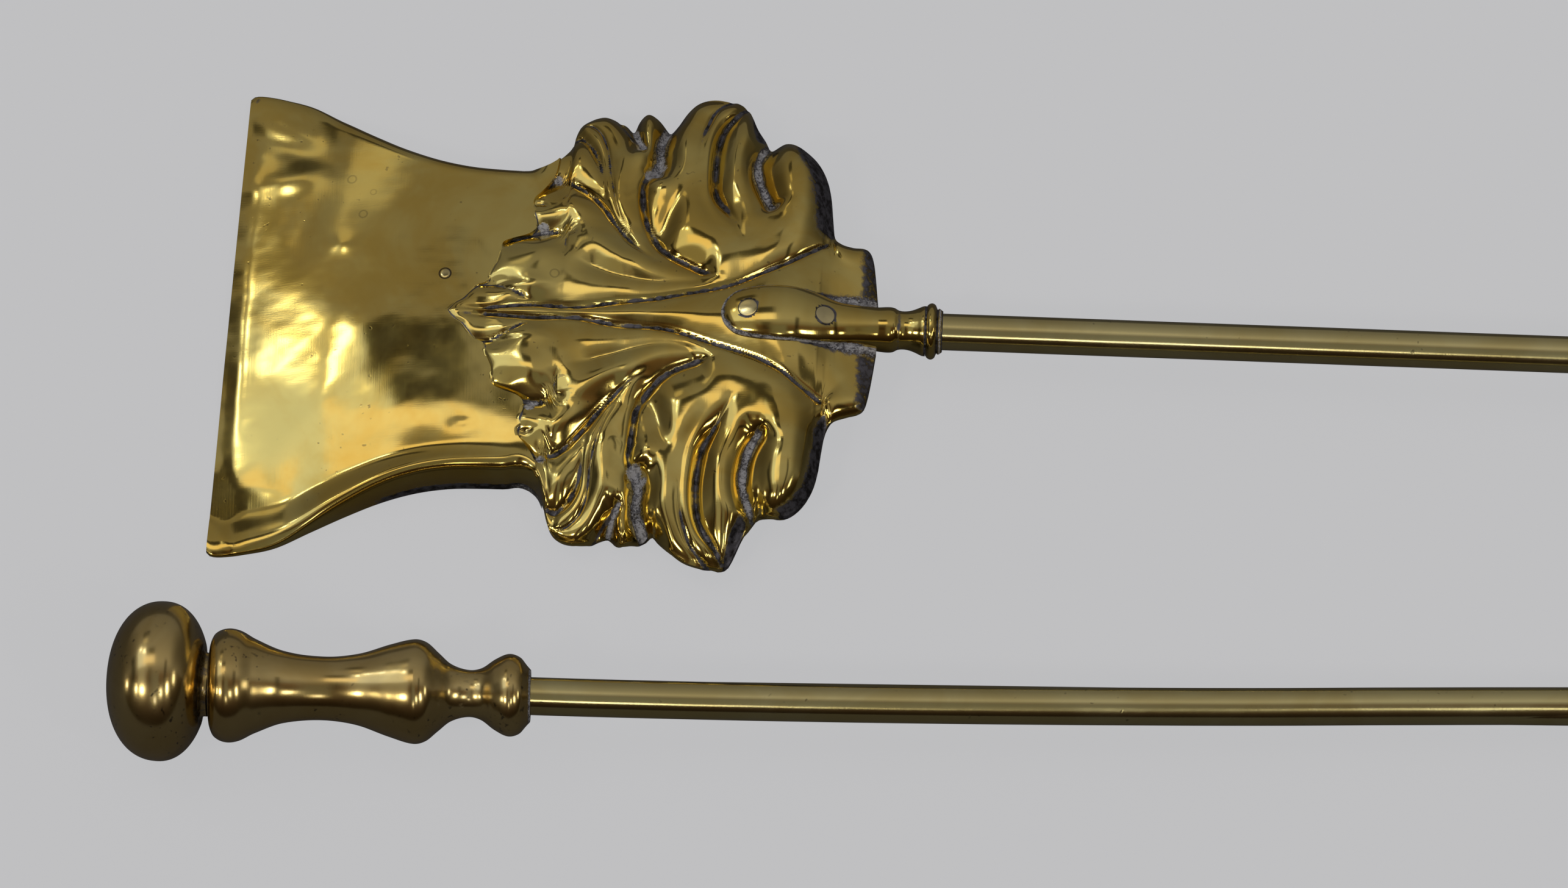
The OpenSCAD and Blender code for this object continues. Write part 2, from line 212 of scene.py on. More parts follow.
def make_room():
    """A soft room painted on the sky: a tilt gradient, dark flags and soft boxes."""
    world = bpy.data.worlds.new("room")
    scene.world = world
    world.use_nodes = True
    g = Graph(world.node_tree)
    g.nodes.clear()
    place = g.add("TexCoord", "Generated", {})
    split = g.nodes.new("ShaderNodeSeparateXYZ")
    g.put(split.inputs[0], place)
    x, y, z = split.outputs
    tilt = g.times(g.math("ARCTAN2", g.times(y, -1.0), z), 180 / math.pi)
    turn = g.times(g.math("ARCSINE", x), 180 / math.pi)

    def inside(spot_turn, spot_tilt, half_turn, half_tilt, soft):
        """1 inside a soft-edged patch of the room, and 0 outside it."""
        sides = []
        for angle, spot, half in ((turn, spot_turn, half_turn), (tilt, spot_tilt, half_tilt)):
            off = g.math("ABSOLUTE", g.minus(angle, spot))
            sides.append(g.minus(1.0, g.ramp(off, half - soft / 2, half + soft / 2)))
        return g.times(*sides)

    ramp = g.nodes.new("ShaderNodeValToRGB")
    g.put(ramp.inputs[0], g.plus(g.times(tilt, 1 / 180), 0.5, clamp=True))
    elements = ramp.color_ramp.elements
    while len(elements) > 1:
        elements.remove(elements[-1])
    for i, (angle, level) in enumerate(ROOM):
        element = elements[0] if i == 0 else elements.new(angle / 180 + 0.5)
        element.position = angle / 180 + 0.5
        blue = BLUE_SHARE[0] if angle < WARM_FROM else BLUE_SHARE[1]
        element.color = (level, level * (0.35 + 0.65 * blue), level * blue, 1)
    aside = g.ramp(g.math("ABSOLUTE", turn), *SIDE_TURN)
    total = g.mix(g.times(aside, SIDE_SHADE), ramp.outputs[0], SIDE_TONE)
    for *patch, share in FLAGS:
        total = g.mix(g.times(inside(*patch), share), total, (0, 0, 0, 1))
    for *patch, strength, tone in BOXES:
        total = g.mix(inside(*patch), total, (*(strength * c for c in tone), 1))
    out = g.nodes.new("ShaderNodeOutputWorld")
    g.put(out.inputs["Surface"], g.add("Background", 0, {"Color": total}))
    scene.view_settings.view_transform = "Standard"


# -------- curves

def curve(rows, at):
    """Smooth curve through rows of (place, value)."""
    rows = np.asarray(rows, float)
    x, y = rows[:, 0], rows[:, 1]
    slope = np.empty_like(y)
    slope[1:-1] = (y[2:] - y[:-2]) / (x[2:] - x[:-2])
    slope[0] = (y[1] - y[0]) / (x[1] - x[0])
    slope[-1] = (y[-1] - y[-2]) / (x[-1] - x[-2])
    at = np.clip(np.asarray(at, float), x[0], x[-1])
    i = np.clip(np.searchsorted(x, at) - 1, 0, len(x) - 2)
    span = x[i + 1] - x[i]
    t = (at - x[i]) / span
    return (
        y[i] * (2 * t**3 - 3 * t**2 + 1)
        + span * slope[i] * (t**3 - 2 * t**2 + t)
        + y[i + 1] * (3 * t**2 - 2 * t**3)
        + span * slope[i + 1] * (t**3 - t**2)
    )


def ease(low, high, at):
    t = np.clip((np.asarray(at, float) - low) / (high - low), 0, 1)
    return t * t * (3 - 2 * t)


def mix(a, b, t):
    return a + (b - a) * t


def bell(t, power=2):
    """1 at 0, falling to nothing a little beyond 1."""
    return np.exp(-(t**power))


def bumps(rows, x, y):
    """Height of each soft bump in rows of middle, half sizes, turn in degrees and height."""
    for cx, cy, rx, ry, turn, rise in rows:
        t = math.radians(turn)
        u = ((x - cx) * math.cos(t) + (y - cy) * math.sin(t)) / rx
        v = (-(x - cx) * math.sin(t) + (y - cy) * math.cos(t)) / ry
        yield rise * np.exp(-(u * u + v * v))


def route(points, step=1.2):
    """Points along a smooth path through given points, and each one's share of the way."""
    points = np.asarray(points, float)
    gaps = np.sqrt((np.diff(points, axis=0) ** 2).sum(1))
    along = np.concatenate([[0], np.cumsum(gaps)])
    count = max(int(along[-1] / step), 2)
    at = np.linspace(0, along[-1], count + 1)
    line = [curve(np.column_stack([along, points[:, k]]), at) for k in range(points.shape[1])]
    return np.column_stack(line), at / along[-1]


def distance(x, y, points, reach=14.0):
    """Distance of each place from a path, and how far along the path its nearest point is."""
    line, share = route(points)
    best = np.full(x.shape, 1e3)
    where = np.zeros(x.shape)
    low, high = line.min(0) - reach, line.max(0) + reach
    near = (x > low[0]) & (x < high[0]) & (y > low[1]) & (y < high[1])
    px, py = x[near], y[near]
    nearest = np.full(px.shape, 1e3)
    found = np.zeros(px.shape)
    for a, b, sa, sb in zip(line[:-1], line[1:], share[:-1], share[1:]):
        step = b - a
        t = np.clip(((px - a[0]) * step[0] + (py - a[1]) * step[1]) / (step @ step), 0, 1)
        gap = np.hypot(px - a[0] - t * step[0], py - a[1] - t * step[1])
        closer = gap < nearest
        nearest[closer] = gap[closer]
        found[closer] = (sa + (sb - sa) * t)[closer]
    best[near] = nearest
    where[near] = found
    return best, where


RIPPLES = np.random.default_rng(7)


def ripple(x, y, wave, count=7):
    """Gentle unevenness, about -1 to 1, with bumps about one wave apart."""
    total = np.zeros(np.shape(x))
    for _ in range(count):
        angle = RIPPLES.uniform(0, math.tau)
        k = math.tau / (wave * RIPPLES.uniform(0.7, 1.5))
        phase = RIPPLES.uniform(0, math.tau)
        total += np.sin(k * (x * math.cos(angle) + y * math.sin(angle)) + phase)
    return total / math.sqrt(count)


# -------- frames, read from the CAD tubes

TUBE_IN_HANDLE = 118.0
SEAT = 4.0
MOUTH_X = 209.5
NECK_Z = 15.0


def ends_of(node):
    """Middles of the two ends of a straight node, in millimetres, lowest X first."""
    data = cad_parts[node].data
    points = np.array([v.co for v in data.vertices], float) / MM
    middle = points.mean(0)
    axis = np.linalg.svd(points - middle, full_matrices=False)[2][0]
    axis = axis * np.sign(axis[0])
    along = (points - middle) @ axis
    ends = []
    for pick in (along < along.min() + 0.5, along > along.max() - 0.5):
        ring = points[pick]
        ends.append((ring.min(0) + ring.max(0)) / 2)
    return ends[0], ends[1]


def way(start, end):
    """Direction and length of the way from one point to another."""
    length = np.linalg.norm(end - start)
    return (end - start) / length, length


def matrix(origin, x, y, z):
    m = Matrix.Identity(4)
    for row in range(3):
        m[row][0], m[row][1], m[row][2], m[row][3] = x[row], y[row], z[row], origin[row]
    return np.array(m)


def along_z(origin, direction):
    """Frame with Z along a direction, and Y as level as it can be."""
    z = np.asarray(direction, float)
    z = z / np.linalg.norm(z)
    y = np.cross(z, (0, 0, 1.0))
    y = y / np.linalg.norm(y)
    return matrix(origin, np.cross(y, z), y, z)


SOCKET_END, SHOVEL_HANDLE_END = ends_of("shovel_tube")
POKER_HANDLE_END, COLLAR_END = ends_of("poker_tube")
SHAFT, SHAFT_LENGTH = way(SOCKET_END, SHOVEL_HANDLE_END)
ROD, ROD_LENGTH = way(POKER_HANDLE_END, COLLAR_END)
SHOVEL_KNOB_TIP = SHOVEL_HANDLE_END + SHAFT * TUBE_IN_HANDLE
POKER_KNOB_TIP = POKER_HANDLE_END - ROD * TUBE_IN_HANDLE
MOUTH = SOCKET_END + SHAFT * SEAT
SHOVEL_HANDLE = along_z(SHOVEL_KNOB_TIP, -SHAFT)
POKER = along_z(POKER_KNOB_TIP, ROD)
SHAFT_FRAME = along_z(MOUTH, SHAFT)
LEVEL = np.array([SHAFT[0], SHAFT[1], 0]) / math.hypot(SHAFT[0], SHAFT[1])
PAN = matrix(
    (MOUTH[0] - LEVEL[0] * MOUTH_X, MOUTH[1] - LEVEL[1] * MOUTH_X, 0.0),
    LEVEL, (-LEVEL[1], LEVEL[0], 0), (0, 0, 1),
)
RISE = math.asin(SHAFT[2])


# Slight bow of the poker: distance from the knob's tip, and the shift towards the near side
POKER_BOW = [
    (0, -1.2), (13, -0.95), (72, 0), (104, 0.65), (126, 1.2), (149, 1.5), (194, 1.75), (239, 1.65),
    (284, 1.3), (330, 0.65), (375, -0.4), (420, -1.3), (470, -1.9), (520, -1.9), (589, -1.2), (700, 0),
]


# -------- mesh helpers

SHARP_ANGLE = math.radians(62)


def make_piece(name, points, faces, place, body, replaces, material, grime_and_shade=None, residue=0.0):
    """Makes a smooth piece from points in millimetres in a local frame, and seats it on its body."""
    points = np.asarray(points, float)
    world = points @ place[:3, :3].T + place[:3, 3]
    if body == "poker":
        world = world + np.outer(curve(POKER_BOW, (world - POKER_KNOB_TIP) @ ROD), POKER[:3, 1])
    mesh = bpy.data.meshes.new(name)
    mesh.from_pydata((world * MM).tolist(), [], faces)
    work = bmesh.new()
    work.from_mesh(mesh)
    bmesh.ops.recalc_face_normals(work, faces=work.faces)
    work.to_mesh(mesh)
    work.free()
    for mask, values in (("grime_and_shade", grime_and_shade), ("residue", residue)) if grime_and_shade is not None else ():
        layer = mesh.attributes.new(mask, "FLOAT", "POINT")
        values = np.clip(np.broadcast_to(values, len(points)), 0, 1)
        layer.data.foreach_set("value", values.astype(np.float32))
    mesh.polygons.foreach_set("use_smooth", [True] * len(mesh.polygons))
    mesh.set_sharp_from_angle(angle=SHARP_ANGLE)
    mesh.materials.append(material)
    mesh.update()
    piece = bpy.data.objects.new(name, mesh)
    scene.collection.objects.link(piece)
    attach(piece, body)
    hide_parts(*replaces)
    return piece


def rings_mesh(rings, closed=False):
    """Faces for rings of points that all have the same length; open ends are capped."""
    m, n = len(rings), len(rings[0])
    faces = []
    for i in range(m if closed else m - 1):
        k = (i + 1) % m
        for j in range(n):
            faces.append((i * n + j, i * n + (j + 1) % n, k * n + (j + 1) % n, k * n + j))
    points = [p for ring in rings for p in ring]
    if not closed:
        for ring_start, ring in ((0, rings[0]), ((m - 1) * n, rings[-1])):
            hub = len(points)
            points.append(np.mean(ring, axis=0))
            for j in range(n):
                faces.append((hub, ring_start + j, ring_start + (j + 1) % n))
    return np.array(points), faces


def circle(count):
    return np.arange(count) * math.tau / count


def ring_round_z(radius, angles, place):
    return np.column_stack([radius * np.cos(angles), radius * np.sin(angles), np.full(len(angles), place)])


def turned_points(rows, bore=0.0, segments=96, wobble=None):
    """Turned piece through rows of (place, radius) along Z; a bore makes it a sleeve."""
    rows = np.asarray(rows, float)
    angles = circle(segments)
    rings = []
    for place, radius in rows:
        rings.append(ring_round_z(radius + (wobble(place, angles) if wobble else 0), angles, place))
    if bore:
        for place in (rows[-1][0], (rows[0][0] + rows[-1][0]) / 2, rows[0][0]):
            rings.append(ring_round_z(bore, angles, place))
    return rings_mesh(rings, closed=bool(bore))


# -------- materials

PIT_TONE = (0.10, 0.07, 0.03, 1)
MARK_TONE = (0.05, 0.035, 0.015, 1)
# Tones of the dark tarnish, which also paint shade where a piece's mask is set for shade
GRIME_AND_SHADE_TONES = (0.022, 0.020, 0.022, 1), (0.15, 0.15, 0.18, 1)
RESIDUE_TONES = (0.08, 0.08, 0.10, 1), (0.62, 0.64, 0.70, 1)
GRIME_AND_SHADE_ROUGH = 0.42
RESIDUE_ROUGH = 0.85
LACQUER_ROUGH = 0.08


def brass(name, light, dark, rough, scratch=1.0, turned_axis=False, spots=0.5, rings=()):
    """Worn polished brass: colour clouds, hairlines, pits, dark tarnish that also serves as painted shade,
    and pale polish residue.
    """
    material, g, shader = new_material(name)
    place = g.add("TexCoord", "Object", {})
    grime_and_shade_mask = g.attribute("grime_and_shade")
    residue_mask = g.attribute("residue")
    clouds = g.noise(place, 28, 4, 0.6, 0.6)
    fine = g.noise(place, 420, 4, 0.65)
    grit = g.noise(place, 1900, 3, 0.6)
    hairs_a = g.noise(g.stretched(place, (60, 2600, 900), 0.5), 1.0, 2, 0.6)
    hairs_b = g.noise(g.stretched(place, (2400, 70, 900), -0.35), 1.0, 2, 0.6)

    tone = g.mix(g.ramp(clouds, 0.36, 0.66), (*dark, 1), (*light, 1))
    pits = g.ramp(g.noise(place, 640, 1, 0.4), 0.78 - 0.16 * spots, 0.78)
    pits = g.times(pits, g.ramp(g.noise(place, 60, 2), 0.5, 0.62))
    tone = g.mix(g.times(pits, spots), tone, PIT_TONE)
    for centre, radius, line, strength in rings:
        off = g.math("ABSOLUTE", g.minus(g.reach(place, centre), radius))
        mark = g.minus(1.0, g.ramp(off, line * 0.4, line))
        tone = g.mix(g.times(mark, strength), tone, MARK_TONE)

    # dark tarnish, and painted shade where a piece's mask is set for shade
    broken = g.plus(g.times(g.minus(fine, 0.5), 0.9), grime_and_shade_mask)
    grime_and_shade = g.times(g.ramp(broken, 0.30, 0.62), g.ramp(grime_and_shade_mask, 0.02, 0.2))
    patchy = g.plus(g.times(g.minus(grit, 0.5), 1.2), residue_mask)
    residue = g.times(g.ramp(patchy, 0.42, 0.80), g.ramp(residue_mask, 0.03, 0.25))
    tone = g.mix(grime_and_shade, tone, g.mix(g.ramp(fine, 0.38, 0.62), *GRIME_AND_SHADE_TONES))
    streaks = g.noise(g.stretched(place, (500, 900, 700), 0.6), 1.0, 4, 0.7, 0.5)
    tone = g.mix(residue, tone, g.mix(g.ramp(streaks, 0.34, 0.56), *RESIDUE_TONES))
    g.put(shader.inputs["Base Color"], tone)

    metal = g.minus(1.0, g.times(grime_and_shade, 0.45))
    metal = g.times(metal, g.minus(1.0, residue), clamp=True)
    g.put(shader.inputs["Metallic"], metal)
    smear = g.times(g.ramp(clouds, 0.45, 0.75), 0.06)
    gloss = g.plus(g.plus(rough, smear), g.times(fine, 0.05))
    gloss = g.blend(grime_and_shade, gloss, GRIME_AND_SHADE_ROUGH)
    gloss = g.blend(residue, gloss, RESIDUE_ROUGH)
    g.put(shader.inputs["Roughness"], gloss)
    lacquer = g.minus(1.0, g.plus(grime_and_shade, residue), clamp=True)
    lacquer = g.times(lacquer, g.blend(g.ramp(clouds, 0.3, 0.6), 0.6, 1.0))
    g.put(shader.inputs["Coat Weight"], lacquer)
    shader.inputs["Coat Roughness"].default_value = LACQUER_ROUGH

    height = g.plus(g.times(fine, 0.5), g.times(grit, 0.2))
    height = g.plus(height, g.times(g.plus(hairs_a, hairs_b), 0.5 * scratch))
    if turned_axis:
        lathe_lines = g.noise(g.stretched(place, (2600, 30, 30)), 1.0, 2, 0.5)
        height = g.plus(height, g.times(lathe_lines, 0.5))
    height = g.minus(height, g.times(pits, 1.5))
    height = g.plus(height, g.times(g.plus(grime_and_shade, residue), g.times(fine, 2.5)))
    g.bump(shader, height, 0.35, 0.00002)
    return material


def forged_iron(name):
    """Dark worked iron with scale in darker and lighter patches, and a little rust."""
    material, g, shader = new_material(name)
    place = g.add("TexCoord", "Object", {})
    scale = g.noise(place, 90, 5, 0.65, 0.5)
    grain = g.noise(place, 700, 4, 0.7)
    tone = g.mix(g.ramp(scale, 0.35, 0.65), (0.05, 0.045, 0.042, 1), (0.17, 0.16, 0.155, 1))
    rust = g.times(g.ramp(g.noise(place, 45, 4, 0.7), 0.55, 0.68), g.ramp(grain, 0.4, 0.6))
    tone = g.mix(g.times(rust, 0.7), tone, (0.16, 0.06, 0.025, 1))
    g.put(shader.inputs["Base Color"], tone)
    g.put(shader.inputs["Metallic"], g.minus(0.9, g.times(rust, 0.7)))
    g.put(shader.inputs["Roughness"], g.plus(0.36, g.times(grain, 0.3)))
    g.bump(shader, g.plus(scale, g.times(grain, 0.5)), 0.6, 0.0001)
    return material


# -------- the pan

# The leaf's front tip, the casting's thickness, the rounded corner, and the end of the tail
FRONT = 66.5
THICK = 1.8
CORNER = 5.0
TAIL_END = 195.0
# The plate's rise: its height, its length and the flat at the front edge
PLATE_RISE = 13.6
PLATE_RUN = 72
EDGE_FLAT = 4
# Half width and wall height of the scoop's section where the leaf starts, which space the points
SECTION_HALF = 51.4
SECTION_HEIGHT = 14
# Half width that the leaf's front edge is stretched over
LEAF_HALF = 51.6
# Places along the pan over which the side walls end, on the near and on the far side
WALL_END_NEAR = (98, 103)
WALL_END_FAR = (86, 96)
# Outer half width along the pan, away from the near side and towards it
EDGE_START = [
    (0, 75.9), (1, 76.9), (3, 77.25), (6, 77), (10, 76.3), (20, 73.6), (30, 68), (40, 62.4), (50, 57.4),
    (60, 53.8), (70, 51.8), (80, 51.2), (87, 51.0),
]
EDGE_FAR = EDGE_START + [
    (90, 50.4), (92, 50.6), (94.5, 51.8), (97, 54), (99, 57.5), (100.2, 61), (100.8, 64.5), (102, 67.6),
    (104, 69.6), (106.5, 70.8), (109.5, 71.2), (112.7, 70.6), (115.9, 69.5), (117.6, 68.5), (118.4, 68.9),
    (119.4, 70.6), (120.7, 71.9), (122.3, 72.4), (125, 71.4), (128.2, 69.4), (129.8, 68.4), (131.6, 69.8),
    (134.5, 73), (138.2, 76), (141.8, 77.3), (145.9, 77.5), (150, 77), (152.7, 75.6), (154.1, 73),
    (155.9, 68.8), (158.4, 64.5), (160.2, 61.5), (161.6, 60.8), (165, 61.4), (169.1, 60.4), (172.7, 58),
    (175.9, 54.3), (178.2, 49.5), (179.5, 44), (180.3, 37), (181, 31), (182.5, 28), (186.4, 26.8),
    (190.3, 26.6), (192.2, 25), (193.3, 21.5), (194.2, 15), (195, 8),
]
EDGE_NEAR = EDGE_START + [
    (90, 50.4), (92, 50.6), (94.5, 51.8), (97, 54.5), (99, 60), (100, 64), (101.2, 67), (103.3, 69.3),
    (106, 70.7), (109, 71.2), (112.7, 70.5), (116, 68.7), (118, 67.2), (119.4, 67.9), (120.9, 70.2),
    (122.7, 71.2), (125.5, 70), (129, 67.8), (131.4, 67), (133, 69), (137.3, 73.6), (141.8, 76.6),
    (147.3, 77.7), (152, 77.4), (154.6, 76), (156.2, 72.7), (158.2, 67.9), (160.5, 64), (162.3, 61.4),
    (164.5, 62.2), (168.2, 62.8), (171.8, 61.6), (175.3, 58), (178, 52.5), (179.4, 46.5), (180.2, 39),
    (180.9, 34), (183, 31), (187.3, 28.9), (190.6, 27.7), (192.4, 25.6), (193.4, 21), (194.2, 15),
    (195, 8),
]
# Place of the leaf's front edge along the pan, by distance from the middle
LEAF_FRONT = [
    (0, 66.5), (2.5, 68.6), (4, 70.8), (7.3, 73.6), (9.2, 75.6), (10.2, 78), (12.5, 78.6), (15, 79.6),
    (18, 80.9), (21.5, 81.4), (24, 82.0), (25.2, 84.2), (27, 88.6), (29.3, 91.2), (32, 91.2), (35, 90.3),
    (36.8, 90.8), (38.2, 90.0), (40.8, 90.6), (42.8, 92.6), (44.8, 94.6), (46.6, 96), (49, 96.6),
    (53, 97),
]
CREST = [
    (60, 14.5), (66, 15.6), (73, 17.2), (80, 18.4), (104, 19.4), (124, 20.9), (142, 21.6), (152, 22.4),
    (163, 23.4), (170, 22.9), (176, 20.6), (183, 17.4), (189, 16.5), (195, 16.3),
]
RIM = [
    (60, 13.2), (80, 13.4), (92, 13), (98, 11.5), (103, 10.8), (112, 11), (120, 11.3), (128, 12.5),
    (135, 13.2), (148, 14), (157, 15.5), (162, 17.5), (168, 19.5), (175, 20), (182, 19), (188, 18),
    (195, 17.8),
]
# Share of the plate's height that is left where it turns down, along the pan
CROWN = [(0, 0.85), (10, 0.5), (22, 0.4), (33.5, 0.68), (44.6, 0.84), (56, 0.92), (80, 0.9)]
# Leaf carving: path (along the pan, from the middle), pillow drop and width, groove width and depth,
# shares of the path over which it fades in and out, tarnish and residue
CARVING = [
    # the stem's flank
    ([(67, 0.9), (74, 1.1), (82, 1.4), (92, 1.7), (101, 2.0), (110, 2.5), (119, 3.5), (127, 4.8),
      (133, 5.9), (140, 7.3), (146, 8.8), (151, 10.5), (156, 12.5), (162, 15.2), (167.3, 17.9), (172, 21),
      (176.4, 24), (181, 27.3)], 1.5, 3.2, 0.75, 0.9, 0.10, 0.02, 1.0, 0.35),
    # first small leaflet
    ([(76.2, 9.7), (80, 9.3), (84.5, 7.2), (89.5, 4.3), (92.5, 3)], 1.5, 1.9, 0.6, 0.7, 0.0, 0.3, 0.8, 0),
    # inner front tooth and its inner side
    ([(82.4, 24.2), (86, 25.8), (90, 27.6), (94, 28.6), (98, 28.4), (101.5, 27.7), (105.5, 26.4)],
      2.0, 2.4, 0.9, 1.2, 0.0, 0.3, 1.0, 0.5),
    ([(100.4, 28), (100.2, 24), (100.5, 18.4)], 0.9, 1.8, 0.35, 0.45, 0.0, 0.4, 0.7, 0),
    ([(90.2, 37.2), (92.5, 37.9), (95.5, 37.2)], 1.2, 1.6, 0.6, 0.6, 0.0, 0.5, 0.4, 0),
    # between the middle and the outer front lobes
    ([(91, 41.2), (93.5, 43.8), (96.5, 45.8), (100, 45.5), (103.6, 43.5), (107.3, 40.2), (110.9, 36),
      (114.5, 31.2), (118.3, 26.6), (121.8, 23.2), (125, 20.6), (128, 18.6)],
      2.3, 3.0, 0.75, 1.1, 0.0, 0.3, 1.0, 0.3),
    # crease along the inner petal
    ([(101.8, 18.4), (107.3, 16.3), (114.5, 13.6), (123.6, 11.4), (132.7, 10.6), (141.8, 11.2),
      (147, 12)], 1.4, 2.6, 0.8, 0.2, 0.2, 0.2, 0, 0),
    # folds of the outer front lobe
    ([(100.1, 61.4), (102.7, 62.3), (105.5, 59.8), (107.5, 56.5), (108.8, 53), (109.6, 49), (110.2, 45),
      (111, 40)], 2.1, 2.4, 0.75, 1.0, 0.0, 0.6, 1.0, 0),
    ([(101.4, 66.9), (105, 67.5), (108.2, 65.2), (110, 62.2), (111.4, 57.5), (112.3, 49), (113.7, 41.5),
      (115.8, 34.5), (118.7, 29), (122, 24.8)], 1.5, 2.0, 0.45, 0.5, 0.1, 0.5, 0.75, 0),
    # tooth at the notch
    ([(117.8, 70.5), (118.7, 67), (119.8, 63.4), (121.2, 60.2), (122.6, 57.3)],
      3.2, 2.2, 1.2, 1.2, 0.0, 0.25, 0.9, 1.0),
    ([(113.7, 71.2), (115.9, 67.1), (118.2, 63.4), (120.5, 59.9), (122.5, 57.4)],
      1.6, 1.7, 0.6, 0.6, 0.0, 0.2, 0.8, 0),
    ([(130.4, 70.5), (128.4, 66), (127.0, 62), (126.5, 58), (126.6, 54), (125.8, 50.8), (124.2, 48.6)],
      4.2, 2.4, 2.2, 1.6, 0.0, 0.05, 1.0, 0.9),
    # between the outer front lobe and the back lobes
    ([(123.8, 48.8), (122.7, 45.4), (122.9, 41.5), (123.7, 36), (125, 30.8), (127.4, 26.2), (130.5, 21.8),
      (134, 18.6), (138.6, 16), (142.7, 14.3), (147.5, 13.2)], 2.7, 3.2, 1.0, 1.1, 0.0, 0.15, 1.0, 0.12),
    # folds of the big back lobe
    ([(149.3, 79), (144.6, 74.4), (142.5, 71), (141.4, 67.5), (140.3, 64), (139.5, 60), (139, 54)],
      1.5, 2.2, 0.7, 0.5, 0.0, 0.6, 0.95, 0),
    ([(153.5, 78), (150.2, 72.5), (146.6, 67), (144.7, 61.5), (143.8, 55), (144, 48.8), (145, 43),
      (146.7, 39.5), (148.9, 36), (150.8, 32.3), (152.4, 29), (153.2, 26.8)],
      2.9, 2.8, 0.95, 1.1, 0.0, 0.3, 1.0, 0.45),
    ([(161.2, 63), (158.6, 58.2), (157.2, 54), (157.4, 49), (158.6, 44), (160.5, 39.6), (163.3, 35)],
      3.4, 2.7, 1.7, 1.3, 0.0, 0.12, 1.0, 0.8),
    ([(154.4, 77), (155.3, 71), (156.6, 66), (158.4, 61.5)], 2.2, 2.6, 2.2, 0.6, 0.0, 0.2, 1.0, 0.3),
]
# Raised rolls: path, width, height
ROLLS = [
    ([(152, 78), (147.6, 72.6), (144.3, 69), (142.2, 63), (141.2, 56), (141.3, 49), (142.3, 42.5),
      (144.7, 37), (148, 32), (151.6, 28)], 1.3, 1.2),
    ([(104, 64.5), (107.6, 62.5), (110, 57.5), (111, 50), (112, 43), (113.8, 36.5), (116.8, 30.5)],
      1.0, 0.5),
    ([(69, 0), (90, 0), (115, 0), (140, 0)], 1.4, 0.5),
]
# Swellings and hollows: middle, half sizes, turn in degrees, height
SWELLS = [
    (127.5, 44.0, 4.5, 4.5, 0, 1.4), (131.0, 33.0, 3.6, 11.0, -18, -2.0),
    (134.5, 60.0, 5.5, 12.0, 5, 0.9), (97.0, 46.6, 3.2, 1.6, 0, -1.0), (150.0, 52.0, 3.6, 12.0, -4, 0.9),
    (167.5, 42.0, 6.0, 14.0, -4, 1.2), (104.0, 54.0, 3.2, 5.0, 15, 0.8),
    (116.5, 50.0, 4.0, 12.0, -12, 0.9), (90.0, 18.0, 8.0, 5.5, 15, 0.9), (86.0, 6.2, 4.5, 2.4, -20, 0.8),
    (92.0, 8.0, 5.0, 3.0, 0, 1.0), (114.0, 21.5, 11.0, 4.0, -30, 0.8), (103.0, 36.5, 7.0, 3.6, -35, 0.9),
    (165.0, 22.0, 9.0, 3.0, 32, 0.5), (122.3, 66.0, 1.6, 5.5, 0, 0.6),
]


def half_width(x, near):
    return np.where(near, curve(EDGE_NEAR, x), curve(EDGE_FAR, x))


def plate(x):
    """Height of the scoop's plate along its middle: it lies face down and rises from its front edge."""
    run = (x - EDGE_FLAT + np.sqrt((x - EDGE_FLAT) ** 2 + 9)) / 2
    return THICK + PLATE_RISE * (1 - (1 - np.clip(run / PLATE_RUN, 0, 1)) ** 2)


def plate_height(x, share):
    return plate(x) * mix(1, curve(CROWN, x), share**2.5)


def walls(x, near):
    return np.where(near, 1 - ease(*WALL_END_NEAR, x), 1 - ease(*WALL_END_FAR, x))


def turn_down(x, a, width, near):
    """0 on the flat and 1 at the outline, over the rounded corner and the wall."""
    return walls(x, near) * np.clip(1 - (width - a) / CORNER, 0, 1)


def fall(corner):
    return np.clip(1 - corner**2, 0, 1) ** 0.25


def section_shares(count):
    """Shares of the half width that space points evenly over the scoop's bent section."""
    share = np.concatenate([np.linspace(0, 0.9, 900), 0.9 + 0.1 * np.sin(np.linspace(0, math.pi / 2, 900))])
    height = SECTION_HEIGHT * fall(np.clip(1 - (1 - share) * SECTION_HALF / CORNER, 0, 1))
    steps = np.hypot(np.diff(share * SECTION_HALF), np.diff(height))
    along = np.concatenate([[0], np.cumsum(steps)])
    return np.interp(np.linspace(0, 1, count), along / along[-1], share)


def smooth(grid, rounds):
    """Softens a grid of heights by averaging each with its neighbours, along both axes."""
    for _ in range(2 * rounds):
        wide = np.pad(grid, ((1, 1), (0, 0)), mode="edge")
        grid = ((wide[:-2] + 2 * wide[1:-1] + wide[2:]) / 4).T
    return grid


# How the leaf swells between its grooves: reach and drop beside a groove, and the curve's power
PILLOW_REACH = 3.7
PILLOW_DROP = 1.4
PILLOW_POWER = 1.8
# How far the leaf's front edge stands above the plate
LEAF_PROUD = 1.3
SMOOTH_ROUNDS = 5
# Patches of residue in the leaf's deep corners: place, size, strength
PATCHES = [
    (93.2, 29.9, 1.8, 1.0), (97.3, 46.4, 1.7, 0.9), (124.9, 49.6, 2.6, 1.0), (127.5, 52, 2.0, 0.8),
]


